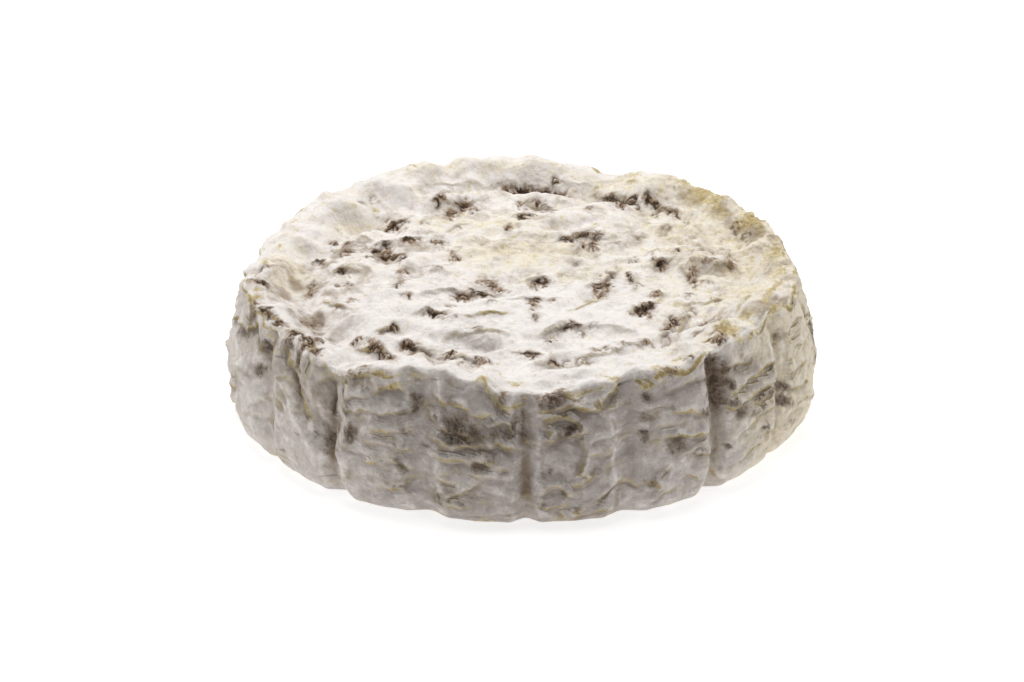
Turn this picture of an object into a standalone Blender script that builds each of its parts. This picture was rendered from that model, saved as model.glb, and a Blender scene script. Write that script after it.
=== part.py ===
"""A wheel of soft goat brie with a bloomy rind, as one closed solid.

The wheel is a turned profile, bent by what the mould, the draining mat and the
ripening did to it: flutes down the wall, an uneven rim, a sunken top with
hollows and folds, and thin level creases round the wall.
Angles are in degrees round the wheel: 0 is the front (-Y), 90 the right (+X).
"""

import bmesh
import bpy
import numpy as np

MM = 0.001

# Driving dimensions, in millimetres
BELLY_RADIUS = 65.0
BELLY_HEIGHT = 12.0
FOOT_RADIUS = 61.2
WALL_TOP_RADIUS = 62.6
WALL_TOP_HEIGHT = 30.8
RIM_RADIUS = 60.9
RIM_HEIGHT = 33.0
TOP_HEIGHT = 30.4

# Flutes left by the ribs of the mould, flute 0 in front
FLUTES = 18
FIRST_FLUTE = 1.0
FLUTE_DEPTH = 1.9
FLUTE_HALF_WIDTH = 2.6
FLUTE_UNEVENNESS = 0.2
FLUTE_LIP = 0.45
PANEL_FLATNESS = 0.6

# Flutes that differ most from the mean: number, half width and depth
ODD_FLUTES = (
    (0, 2.2, 2.1),
    (1, 3.1, 1.7),
    (2, 2.5, 2.5),
    (16, 2.7, 2.3),
    (17, 3.0, 1.5),
)

# Level creases left round the wall by the draining mat
CREASE_GAP = 4.4
CREASE_DEPTH = 0.30
CREASE_WANDER = 0.9
CREASE_LOWEST = 2.8

# Swells and sags of the rim: angle, half width in degrees, rise in mm
RIM_SWELLS = (
    (-41, 8, -3.3),
    (-22, 9, 1.4),
    (4, 9, -2.6),
    (33, 4, -1.0),
    (59, 20, 2.2),
    (135, 26, 0.6),
    (161, 3, -1.6),
    (192, 24, 2.1),
    (196, 3, -1.2),
    (252, 20, -3.0),
)

# How far the wheel is out of round: angle, half width, swell at the rim and at the foot
OUTLINE_SWELLS = (
    (-125, 18, 0.6, 0.0),
    (-98, 15, -1.6, -0.2),
    (-74, 18, -0.2, 0.1),
    (-54, 11, 0.0, -0.6),
    (-21, 7, 0.0, -1.2),
    (58, 18, 0.0, -0.7),
    (80, 12, 0.0, 1.2),
    (97, 14, -2.0, 0.4),
    (150, 20, 0.8, 0.0),
)

# Rings round the top: name, middle angle, half span, radius, half width, rise
RING_FOLDS = (
    ("left moat", -88, 42, 49.0, 4.5, -2.4),
    ("back crease", 181, 22, 50.6, 1.7, -2.2),
    ("back roll", 184, 27, 56.0, 3.0, 0.6),
    ("right moat", 112, 22, 52.0, 4.0, -1.6),
    ("back left roll", 232, 24, 55.0, 5.0, 1.0),
)

# Hollows and swells of the top: x, y, half length, half width, turn, rise
TOP_LUMPS = (
    (-31, -43, 7.5, 3.2, -62, -2.2),
    (-19, -43, 9.0, 3.4, -48, -2.1),
    (-11, -36, 8.0, 5.0, -20, -1.7),
    (-38, -45, 5.5, 5.0, 0, 1.7),
    (-44, -24, 8.0, 4.0, -70, -1.4),
    (-34, -22, 7.0, 5.0, 20, 1.2),
    (-30, 15, 7.5, 4.0, 80, -1.4),
    (-37, 18, 4.0, 3.0, 60, 1.2),
    (-14, 40, 5.5, 3.0, 60, -1.6),
    (-28, 30, 4.0, 3.0, 60, -1.4),
    (-22, 46, 7.0, 2.6, 25, 1.0),
    (4, 41, 6.0, 3.0, -60, -1.2),
    (15, 20, 7.0, 4.0, -60, -1.7),
    (25, 44, 9.0, 3.4, -48, -1.8),
    (18, 33, 10.0, 3.5, -30, 1.2),
    (50, 25, 7.0, 3.6, -80, -2.0),
    (37, 12, 7.0, 5.0, 10, 1.2),
    (32, 5, 6.5, 2.6, -75, -1.2),
    (28, -16, 8.0, 2.8, 68, -1.7),
    (34, -28, 7.0, 3.0, 66, -1.6),
    (18, -6, 4.5, 2.6, 80, -1.6),
    (4, -4, 3.0, 3.0, 0, -1.3),
    (-7, -5, 5.0, 3.0, -60, -1.3),
    (-12, -10, 5.0, 2.6, 10, -1.4),
    (3, -19, 12.0, 3.0, 8, 1.0),
    (8, -33, 13.0, 2.8, 10, -1.2),
    (14, -41, 12.0, 2.6, 22, 1.0),
    (2, -44, 3.0, 3.0, 0, -1.2),
    (4, -55, 10.0, 4.0, 5, 0.9),
)

# Slanting folds of the wall: from angle and height, to angle and height, half width, rise
WALL_FOLDS = (
    (-58, 29, -44, 12, 1.3, 0.9),
    (-52, 30, -41, 17, 1.2, -1.1),
    (-47, 30, -39, 20, 1.1, 0.8),
    (-63, 28, -52, 20, 1.6, -1.0),
    (-80, 24, -58, 15, 2.6, 0.7),
    (-18, 27, -2, 19, 1.4, -0.7),
    (4, 27, 18, 30, 1.0, -0.8),
    (62, 20, 66, 8, 1.2, -0.8),
)

# Mesh: rings from the middle of the top to the rim, and down the wall
SECTORS = 8
TOP_RINGS = 24
SHOULDER_RINGS = 3
CREASE_RINGS = 12
FOOT_CAP = 0.55
SEED = 18


def smooth(x, low, high):
    """0 below low, 1 above high, and an S between."""
    t = np.clip((x - low) / (high - low), 0.0, 1.0)
    return t * t * (3.0 - 2.0 * t)


def hump(distance):
    """1 at distance 0, falling away over one half width."""
    return np.exp(-distance * distance)


def degrees_from(angle, middle):
    """Signed angle from middle, between -180 and 180."""
    return (angle - middle + 180.0) % 360.0 - 180.0


def ripples(x, y, z, wavelength, seed, waves=16):
    """A smooth uneven field of about unit height: waves of like length, in seeded directions."""
    rng = np.random.default_rng(seed)
    field = np.zeros_like(x)
    for _ in range(waves):
        heading = rng.normal(size=3)
        heading *= 2.0 * np.pi / (wavelength * rng.uniform(0.7, 1.4) * np.linalg.norm(heading))
        field += np.sin(heading[0] * x + heading[1] * y + heading[2] * z + rng.uniform(0, 6.3))
    return field / np.sqrt(waves / 2.0)


def circle_place(angle, radius=BELLY_RADIUS):
    """Where an angle lies on a circle seen from above."""
    turn = np.radians(angle)
    return radius * np.sin(turn), -radius * np.cos(turn)


def top_profile(radius):
    """Height of the turned top: level in the middle, rising to a rounded rim."""
    inner = smooth(radius, 0.78 * RIM_RADIUS, 0.97 * RIM_RADIUS)
    return TOP_HEIGHT + (RIM_HEIGHT - TOP_HEIGHT) * inner


def wall_profile(height):
    """Radius of the turned wall at a height: fullest at the belly, drawn in above and below."""
    above = np.clip((height - BELLY_HEIGHT) / (WALL_TOP_HEIGHT - BELLY_HEIGHT), 0.0, 1.2)
    below = np.clip((BELLY_HEIGHT - height) / BELLY_HEIGHT, 0.0, 1.0)
    inset = (BELLY_RADIUS - WALL_TOP_RADIUS) * above**2
    return BELLY_RADIUS - inset - (BELLY_RADIUS - FOOT_RADIUS) * below**3.5


def rim_rise(angle):
    """How far the rim stands above its mean height."""
    return sum(
        rise * hump(degrees_from(angle, middle) / width)
        for middle, width, rise in RIM_SWELLS
    )


def flute_sizes():
    """Half width and depth of every flute, in mm."""
    rng = np.random.default_rng(SEED + 4)
    uneven = 1.0 + FLUTE_UNEVENNESS * rng.uniform(-1.0, 1.0, (2, FLUTES))
    widths, depths = FLUTE_HALF_WIDTH * uneven[0], FLUTE_DEPTH * uneven[1]
    for number, width, depth in ODD_FLUTES:
        widths[number], depths[number] = width, depth
    return widths, depths


def flute_cut(angle, radius):
    """How deep the flutes cut, with a thin lip on both sides, and the flat panels between."""
    pitch = 360.0 / FLUTES
    from_flute = degrees_from(angle, FIRST_FLUTE)
    number = np.round(from_flute / pitch).astype(int)
    from_flute = from_flute - number * pitch
    widths, depths = flute_sizes()
    across = np.radians(from_flute) * radius / widths[number % FLUTES]
    lip = FLUTE_LIP * hump((np.abs(across) - 1.7) / 0.6)
    panel = PANEL_FLATNESS * (np.abs(from_flute) / (pitch / 2)) ** 2
    return depths[number % FLUTES] * hump(across), lip, panel


def crease_lift(angle, height):
    """How far the creases wander up and down the wall."""
    x, y = circle_place(angle)
    return CREASE_WANDER * ripples(x, y, height, 36.0, SEED + 5)


def crease_strength(angle, height):
    """Where the creases show, from 0 to about 1.5."""
    x, y = circle_place(angle)
    strength = 0.75 + 0.6 * ripples(x, y, height * 1.6, 22.0, SEED + 6)
    return np.clip(strength, 0.0, None)


def wall_fold(angle, height, fold):
    """One slanting fold, as a rounded ridge or furrow between its two ends."""
    angle_a, height_a, angle_b, height_b, width, rise = fold
    arc = BELLY_RADIUS * np.pi / 180.0
    run = np.array([(angle_b - angle_a) * arc, height_b - height_a])
    length = np.hypot(*run)
    along_x = degrees_from(angle, angle_a) * arc
    along_z = height - height_a
    along = np.clip((along_x * run[0] + along_z * run[1]) / length**2, 0.0, 1.0)
    away = np.hypot(along_x - along * run[0], along_z - along * run[1])
    return rise * hump(away / width)


def ring_fold(angle, radius, fold):
    """One fold of the top that runs round the wheel."""
    _, middle, half_span, at, width, rise = fold
    fade = 1.0 - smooth(np.abs(degrees_from(angle, middle)), half_span, half_span + 16)
    return rise * fade * hump((radius - at) / width)


def top_relief(x, y, angle, radius):
    """Height of the top's hollows, swells and folds above the turned top."""
    relief = np.zeros_like(x)
    for at_x, at_y, half_length, half_width, turn, rise in TOP_LUMPS:
        c, s = np.cos(np.radians(turn)), np.sin(np.radians(turn))
        along = ((x - at_x) * c + (y - at_y) * s) / half_length
        across = ((y - at_y) * c - (x - at_x) * s) / half_width
        relief += rise * hump(np.hypot(along, across))
    for fold in RING_FOLDS:
        relief += ring_fold(angle, radius, fold)
    level = np.zeros_like(x)
    relief += 0.42 * ripples(x * 0.7, y, level, 11.0, SEED)
    relief += 0.34 * ripples(x * 0.8, y, level, 7.0, SEED + 1)
    return relief


def rim_crumple(angle):
    """Small ups and downs along the rim."""
    x, y = circle_place(angle)
    return 0.45 * ripples(x, y, np.zeros_like(x), 8.5, SEED + 2)


def outline_swell(angle, height):
    """How far the wheel stands out of round at a height."""
    up = np.clip(height / RIM_HEIGHT, 0.0, 1.0)
    return sum(
        (at_foot + (at_rim - at_foot) * up) * hump(degrees_from(angle, middle) / width)
        for middle, width, at_rim, at_foot in OUTLINE_SWELLS
    )


def top_point(angle, radius):
    """Points of the top, in mm, for polar places on the turned wheel."""
    x, y = circle_place(angle, radius)
    near_rim = smooth(radius, 0.72 * RIM_RADIUS, 0.96 * RIM_RADIUS)
    inside = 1.0 - smooth(radius, 0.93 * RIM_RADIUS, RIM_RADIUS)
    height = top_profile(radius) + (rim_rise(angle) + rim_crumple(angle)) * near_rim
    height += top_relief(x, y, angle, radius) * inside
    stretch = 1.0 + outline_swell(angle, RIM_HEIGHT) * near_rim / RIM_RADIUS
    return x * stretch, y * stretch, height


def shoulder_point(angle, share):
    """Points of the rounding between the rim, at share 0, and the wall, at share 1."""
    turn = share * np.pi / 2
    height = RIM_HEIGHT - (RIM_HEIGHT - WALL_TOP_HEIGHT) * (1.0 - np.cos(turn))
    radius = RIM_RADIUS + (WALL_TOP_RADIUS - RIM_RADIUS) * np.sin(turn)
    return bent(angle, radius, height, smooth(share, 0.0, 1.2))


def wall_point(angle, height, crease=0.0):
    """Points of the wall. A crease of 1 stands out by its whole depth, and -1 cuts in."""
    fade = smooth(height, 0.5, 6.0)
    level = height + crease_lift(angle, height) * fade
    out = crease * CREASE_DEPTH * crease_strength(angle, level)
    return bent(angle, wall_profile(level) + out, level, np.ones_like(angle))


def bent(angle, radius, height, strength):
    """The turned form with its flutes, folds and dents, and its rim up and down."""
    depth, lip, panel = flute_cut(angle, BELLY_RADIUS)
    x, y = circle_place(angle)
    folds = sum(wall_fold(angle, height, fold) for fold in WALL_FOLDS)
    folds = folds + 0.30 * ripples(x, y, height, 13.0, SEED + 3)
    radius = radius + (lip + panel - PANEL_FLATNESS / 3 - depth) * strength
    radius += folds * strength * smooth(height, 0.0, 4.0)
    radius += outline_swell(angle, height)
    height = height + (rim_rise(angle) + rim_crumple(angle)) * smooth(height, 12, 33)
    x, y = circle_place(angle, radius)
    return x, y, height


def crowd_to_rim(share):
    """Draws the rings together towards the rim, where the form is finest."""
    return RIM_RADIUS * (1.32 * share - 0.32 * share**2.6)


def add_top(bm):
    """The top's faces, in rings of 8, 16, 24 and so on. Returns the rim's ring."""
    middle = np.stack(top_point(np.zeros(1), np.zeros(1)), axis=1)[0] * MM
    inner = [bm.verts.new(middle)]
    for ring in range(1, TOP_RINGS + 1):
        angles = np.arange(SECTORS * ring) * 360.0 / (SECTORS * ring)
        radii = np.full_like(angles, crowd_to_rim(ring / TOP_RINGS))
        outer = add_ring(bm, np.stack(top_point(angles, radii), axis=1) * MM)
        join_widening(bm, inner, outer, ring)
        inner = outer
    return inner


def join_widening(bm, inner, outer, ring):
    """Triangles between a ring of the top and the next, which has one more step in each sector."""
    for sector in range(SECTORS):
        ins = [inner[(sector * (ring - 1) + k) % len(inner)] for k in range(ring)]
        outs = [outer[(sector * ring + k) % len(outer)] for k in range(ring + 1)]
        for k in range(ring):
            bm.faces.new([outs[k], outs[k + 1], ins[k]])
        for k in range(ring - 1):
            bm.faces.new([ins[k], outs[k + 1], ins[k + 1]])


def add_ring(bm, points):
    return [bm.verts.new(p) for p in points]


def join_rings(bm, upper, lower):
    """Quads between two rings of as many vertices."""
    for k, vert in enumerate(upper):
        following = (k + 1) % len(upper)
        bm.faces.new([vert, lower[k], lower[following], upper[following]])


def join_to_third(bm, outer, inner):
    """Faces between a ring and one inside it with a third as many vertices."""
    for k, vert in enumerate(inner):
        following = inner[(k + 1) % len(inner)]
        a, b, c, d = (outer[(3 * k + step) % len(outer)] for step in range(4))
        bm.faces.new([a, vert, b])
        bm.faces.new([b, vert, following, c])
        bm.faces.new([c, following, d])


def add_wall(bm, rim):
    """The wall's faces. Its rings follow the creases. Returns the foot's ring."""
    angles = np.arange(len(rim)) * 360.0 / len(rim)
    rings = []
    for step in range(1, SHOULDER_RINGS + 1):
        rings.append(shoulder_point(angles, step / SHOULDER_RINGS))
    top = CREASE_LOWEST + (CREASE_RINGS - 1) * CREASE_GAP / 2
    for step in range(CREASE_RINGS):
        height = np.full_like(angles, top - step * CREASE_GAP / 2)
        rings.append(wall_point(angles, height, 1.0 - 2.0 * (step % 2)))
    rings.append(wall_point(angles, np.full_like(angles, 0.9)))
    x, y, level = wall_point(angles, np.zeros_like(angles))
    rings.append((x, y, level * 0.0))
    upper = rim
    for ring in rings:
        lower = add_ring(bm, np.stack(ring, axis=1) * MM)
        join_rings(bm, upper, lower)
        upper = lower
    return upper


def add_foot(bm, ring):
    """The flat foot: a band that thins out, and a cap."""
    points = [vert.co * FOOT_CAP for vert in ring[::3]]
    inner = add_ring(bm, points)
    join_to_third(bm, ring, inner)
    bm.faces.new(inner)


def centre_on_origin(bm):
    """Moves the wheel so that its box is centred over the origin."""
    points = np.array([v.co for v in bm.verts])
    middle = (points.min(axis=0) + points.max(axis=0)) / 2
    bmesh.ops.translate(bm, verts=bm.verts, vec=(-middle[0], -middle[1], 0.0))


def rind_material():
    material = bpy.data.materials.new("bloomy rind")
    material.use_nodes = True
    shader = material.node_tree.nodes["Principled BSDF"]
    shader.inputs["Base Color"].default_value = (0.72, 0.68, 0.60, 1.0)
    shader.inputs["Roughness"].default_value = 0.85
    shader.inputs["Metallic"].default_value = 0.0
    return material


def main():
    for old in list(bpy.data.objects):
        bpy.data.objects.remove(old)
    bm = bmesh.new()
    rim = add_top(bm)
    foot = add_wall(bm, rim)
    add_foot(bm, foot)
    centre_on_origin(bm)
    bmesh.ops.recalc_face_normals(bm, faces=bm.faces)
    mesh = bpy.data.meshes.new("cheese_wheel")
    bm.to_mesh(mesh)
    bm.free()
    mesh.shade_smooth()
    mesh.materials.append(rind_material())
    wheel = bpy.data.objects.new("cheese_wheel", mesh)
    bpy.context.scene.collection.objects.link(wheel)


main()
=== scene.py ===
import math

import bpy
import numpy as np
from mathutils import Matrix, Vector


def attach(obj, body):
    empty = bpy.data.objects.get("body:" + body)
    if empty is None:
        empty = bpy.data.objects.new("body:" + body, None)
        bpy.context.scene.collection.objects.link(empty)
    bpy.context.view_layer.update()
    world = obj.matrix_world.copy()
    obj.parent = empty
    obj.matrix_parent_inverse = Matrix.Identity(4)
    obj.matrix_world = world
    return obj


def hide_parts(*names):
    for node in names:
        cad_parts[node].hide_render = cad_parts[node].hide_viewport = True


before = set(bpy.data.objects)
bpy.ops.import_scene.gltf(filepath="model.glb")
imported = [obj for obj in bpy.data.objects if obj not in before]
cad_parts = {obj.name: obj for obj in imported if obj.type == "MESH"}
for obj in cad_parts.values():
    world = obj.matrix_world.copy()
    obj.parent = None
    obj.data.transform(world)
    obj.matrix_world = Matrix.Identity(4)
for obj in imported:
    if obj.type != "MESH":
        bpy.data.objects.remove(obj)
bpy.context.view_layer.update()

# Goat brie: one wheel with a fluted wall, an uneven rim and a sunken, crumpled top.
# Lengths in the dictionaries are millimetres, angles are degrees round the wheel:
# 0 is the front (-Y), 90 the right (+X), 180 the back.
mm = 0.001
print("frame loaded")


# small helpers

def smoothStep(x, low, high):
    t = np.clip((x - low) / (high - low), 0.0, 1.0)
    return t * t * (3.0 - 2.0 * t)


def hump(distance):
    return np.exp(-distance * distance)


def degreesFrom(angle, middle):
    return (angle - middle + 180.0) % 360.0 - 180.0


def circlePlace(angle, radius):
    turn = np.radians(angle)
    return radius * np.sin(turn), -radius * np.cos(turn)


def ripples(x, y, z, wavelength, seed, waves=16):
    # waves of like length in seeded directions, added up
    rng = np.random.default_rng(seed)
    field = np.zeros_like(x)
    for _ in range(waves):
        heading = rng.normal(size=3)
        heading *= 2.0 * np.pi / (wavelength * rng.uniform(0.7, 1.4) * np.linalg.norm(heading))
        field += np.sin(heading[0] * x + heading[1] * y + heading[2] * z + rng.uniform(0, 6.3))
    return field / np.sqrt(waves / 2.0)


def ellipseHump(x, y, atX, atY, halfLength, halfWidth, turn):
    c, s = math.cos(math.radians(turn)), math.sin(math.radians(turn))
    along = ((x - atX) * c + (y - atY) * s) / halfLength
    across = ((y - atY) * c - (x - atX) * s) / halfWidth
    return hump(np.hypot(along, across))


def linear(red, green, blue):
    # screen colour 0-255 to the shader's own
    def one(v):
        v = v / 255.0
        return v / 12.92 if v <= 0.04045 else ((v + 0.055) / 1.055) ** 2.4
    return (one(red), one(green), one(blue), 1.0)


# the wheel's form, as the solid has it

wheelForm = {
    "bellyRadius": 65.0,
    "bellyHeight": 12.0,
    "footRadius": 61.2,
    "wallTopRadius": 62.6,
    "wallTopHeight": 30.8,
    "rimRadius": 60.9,
    "rimHeight": 33.0,
    "topHeight": 30.4,
    "creaseWander": 0.9,
    "seed": 18,
    # angle, half width, rise
    "rimSwells": [
        (-41, 8, -3.3), (-22, 9, 1.4), (4, 9, -2.6), (33, 4, -1), (59, 20, 2.2), (135, 26, 0.6),
        (161, 3, -1.6), (192, 24, 2.1), (196, 3, -1.2), (252, 20, -3),
    ],
    # angle, half width, swell at the rim, swell at the foot
    "outlineSwells": [
        (-125, 18, 0.6, 0), (-98, 15, -1.6, -0.2), (-74, 18, -0.2, 0.1), (-54, 11, 0, -0.6),
        (-21, 7, 0, -1.2), (58, 18, 0, -0.7), (80, 12, 0, 1.2), (97, 14, -2, 0.4), (150, 20, 0.8, 0),
    ],
    # middle angle, half span, radius, half width, rise
    "ringFolds": [
        (-88, 42, 49, 4.5, -2.4), (181, 22, 50.6, 1.7, -2.2), (184, 27, 56, 3, 0.6), (112, 22, 52, 4, -1.6),
        (232, 24, 55, 5, 1),
    ],
    # x, y, half length, half width, turn, rise
    "topLumps": [
        (-31, -43, 7.5, 3.2, -62, -2.2), (-19, -43, 9, 3.4, -48, -2.1), (-11, -36, 8, 5, -20, -1.7),
        (-38, -45, 5.5, 5, 0, 1.7), (-44, -24, 8, 4, -70, -1.4), (-34, -22, 7, 5, 20, 1.2),
        (-30, 15, 7.5, 4, 80, -1.4), (-37, 18, 4, 3, 60, 1.2), (-14, 40, 5.5, 3, 60, -1.6),
        (-28, 30, 4, 3, 60, -1.4), (-22, 46, 7, 2.6, 25, 1), (4, 41, 6, 3, -60, -1.2),
        (15, 20, 7, 4, -60, -1.7), (25, 44, 9, 3.4, -48, -1.8), (18, 33, 10, 3.5, -30, 1.2),
        (50, 25, 7, 3.6, -80, -2), (37, 12, 7, 5, 10, 1.2), (32, 5, 6.5, 2.6, -75, -1.2),
        (28, -16, 8, 2.8, 68, -1.7), (34, -28, 7, 3, 66, -1.6), (18, -6, 4.5, 2.6, 80, -1.6),
        (4, -4, 3, 3, 0, -1.3), (-7, -5, 5, 3, -60, -1.3), (-12, -10, 5, 2.6, 10, -1.4),
        (3, -19, 12, 3, 8, 1), (8, -33, 13, 2.8, 10, -1.2), (14, -41, 12, 2.6, 22, 1),
        (2, -44, 3, 3, 0, -1.2), (4, -55, 10, 4, 5, 0.9),
    ],
    # angle and height, to angle and height, half width, rise
    "wallFolds": [
        (-58, 29, -44, 12, 1.3, 0.9), (-52, 30, -41, 17, 1.2, -1.1), (-47, 30, -39, 20, 1.1, 0.8),
        (-63, 28, -52, 20, 1.6, -1), (-80, 24, -58, 15, 2.6, 0.7), (-18, 27, -2, 19, 1.4, -0.7),
        (4, 27, 18, 30, 1, -0.8), (62, 20, 66, 8, 1.2, -0.8),
    ],
}

# millimetres round the wall's widest place to one degree
arc = wheelForm["bellyRadius"] * math.pi / 180.0


def topProfile(radius):
    rim = wheelForm["rimRadius"]
    inner = smoothStep(radius, 0.78 * rim, 0.97 * rim)
    return wheelForm["topHeight"] + (wheelForm["rimHeight"] - wheelForm["topHeight"]) * inner


def wallProfile(height):
    f = wheelForm
    above = np.clip((height - f["bellyHeight"]) / (f["wallTopHeight"] - f["bellyHeight"]), 0.0, 1.2)
    below = np.clip((f["bellyHeight"] - height) / f["bellyHeight"], 0.0, 1.0)
    inset = (f["bellyRadius"] - f["wallTopRadius"]) * above**2
    return f["bellyRadius"] - inset - (f["bellyRadius"] - f["footRadius"]) * below**3.5


def rimRise(angle):
    swells = sum(rise * hump(degreesFrom(angle, at) / width)
                 for at, width, rise in wheelForm["rimSwells"])
    x, y = circlePlace(angle, wheelForm["bellyRadius"])
    return swells + 0.45 * ripples(x, y, np.zeros_like(x), 8.5, wheelForm["seed"] + 2)


def outlineSwell(angle, height):
    up = np.clip(height / wheelForm["rimHeight"], 0.0, 1.0)
    return sum((foot + (rim - foot) * up) * hump(degreesFrom(angle, at) / width)
               for at, width, rim, foot in wheelForm["outlineSwells"])


def topRelief(x, y, angle, radius):
    seed = wheelForm["seed"]
    relief = np.zeros_like(x)
    for atX, atY, halfLength, halfWidth, turn, rise in wheelForm["topLumps"]:
        relief += rise * ellipseHump(x, y, atX, atY, halfLength, halfWidth, turn)
    for middle, halfSpan, at, width, rise in wheelForm["ringFolds"]:
        fade = 1.0 - smoothStep(np.abs(degreesFrom(angle, middle)), halfSpan, halfSpan + 16)
        relief += rise * fade * hump((radius - at) / width)
    level = np.zeros_like(x)
    relief += 0.42 * ripples(x * 0.7, y, level, 11.0, seed)
    relief += 0.34 * ripples(x * 0.8, y, level, 7.0, seed + 1)
    return relief


def topPoint(angle, radius):
    rim = wheelForm["rimRadius"]
    x, y = circlePlace(angle, radius)
    nearRim = smoothStep(radius, 0.72 * rim, 0.96 * rim)
    inside = 1.0 - smoothStep(radius, 0.93 * rim, rim)
    height = topProfile(radius) + rimRise(angle) * nearRim
    height += topRelief(x, y, angle, radius) * inside
    stretch = 1.0 + outlineSwell(angle, wheelForm["rimHeight"]) * nearRim / rim
    return x * stretch, y * stretch, height


def shoulderPoint(angle, share):
    f = wheelForm
    turn = share * np.pi / 2
    height = f["rimHeight"] - (f["rimHeight"] - f["wallTopHeight"]) * (1.0 - np.cos(turn))
    radius = f["rimRadius"] + (f["wallTopRadius"] - f["rimRadius"]) * np.sin(turn)
    return bent(angle, radius, height, smoothStep(share, 0.0, 1.2))


def wallPoint(angle, height):
    x, y = circlePlace(angle, wheelForm["bellyRadius"])
    lift = wheelForm["creaseWander"] * ripples(x, y, height, 36.0, wheelForm["seed"] + 5)
    level = height + lift * smoothStep(height, 0.5, 6.0)
    return bent(angle, wallProfile(level), level, np.ones_like(angle))


def bent(angle, radius, height, strength):
    f = wheelForm
    x, y = circlePlace(angle, f["bellyRadius"])
    folds = 0.30 * ripples(x, y, height, 13.0, f["seed"] + 3)
    for angleA, heightA, angleB, heightB, width, rise in f["wallFolds"]:
        run = np.array([(angleB - angleA) * arc, heightB - heightA])
        alongX, alongZ = degreesFrom(angle, angleA) * arc, height - heightA
        share = np.clip((alongX * run[0] + alongZ * run[1]) / (run @ run), 0.0, 1.0)
        folds += rise * hump(np.hypot(alongX - share * run[0], alongZ - share * run[1]) / width)
    radius = radius + folds * strength * smoothStep(height, 0.0, 4.0) + outlineSwell(angle, height)
    height = height + rimRise(angle) * smoothStep(height, 12, 33)
    x, y = circlePlace(angle, radius)
    return x, y, height


# what grew on the rind, read off the photograph

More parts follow.
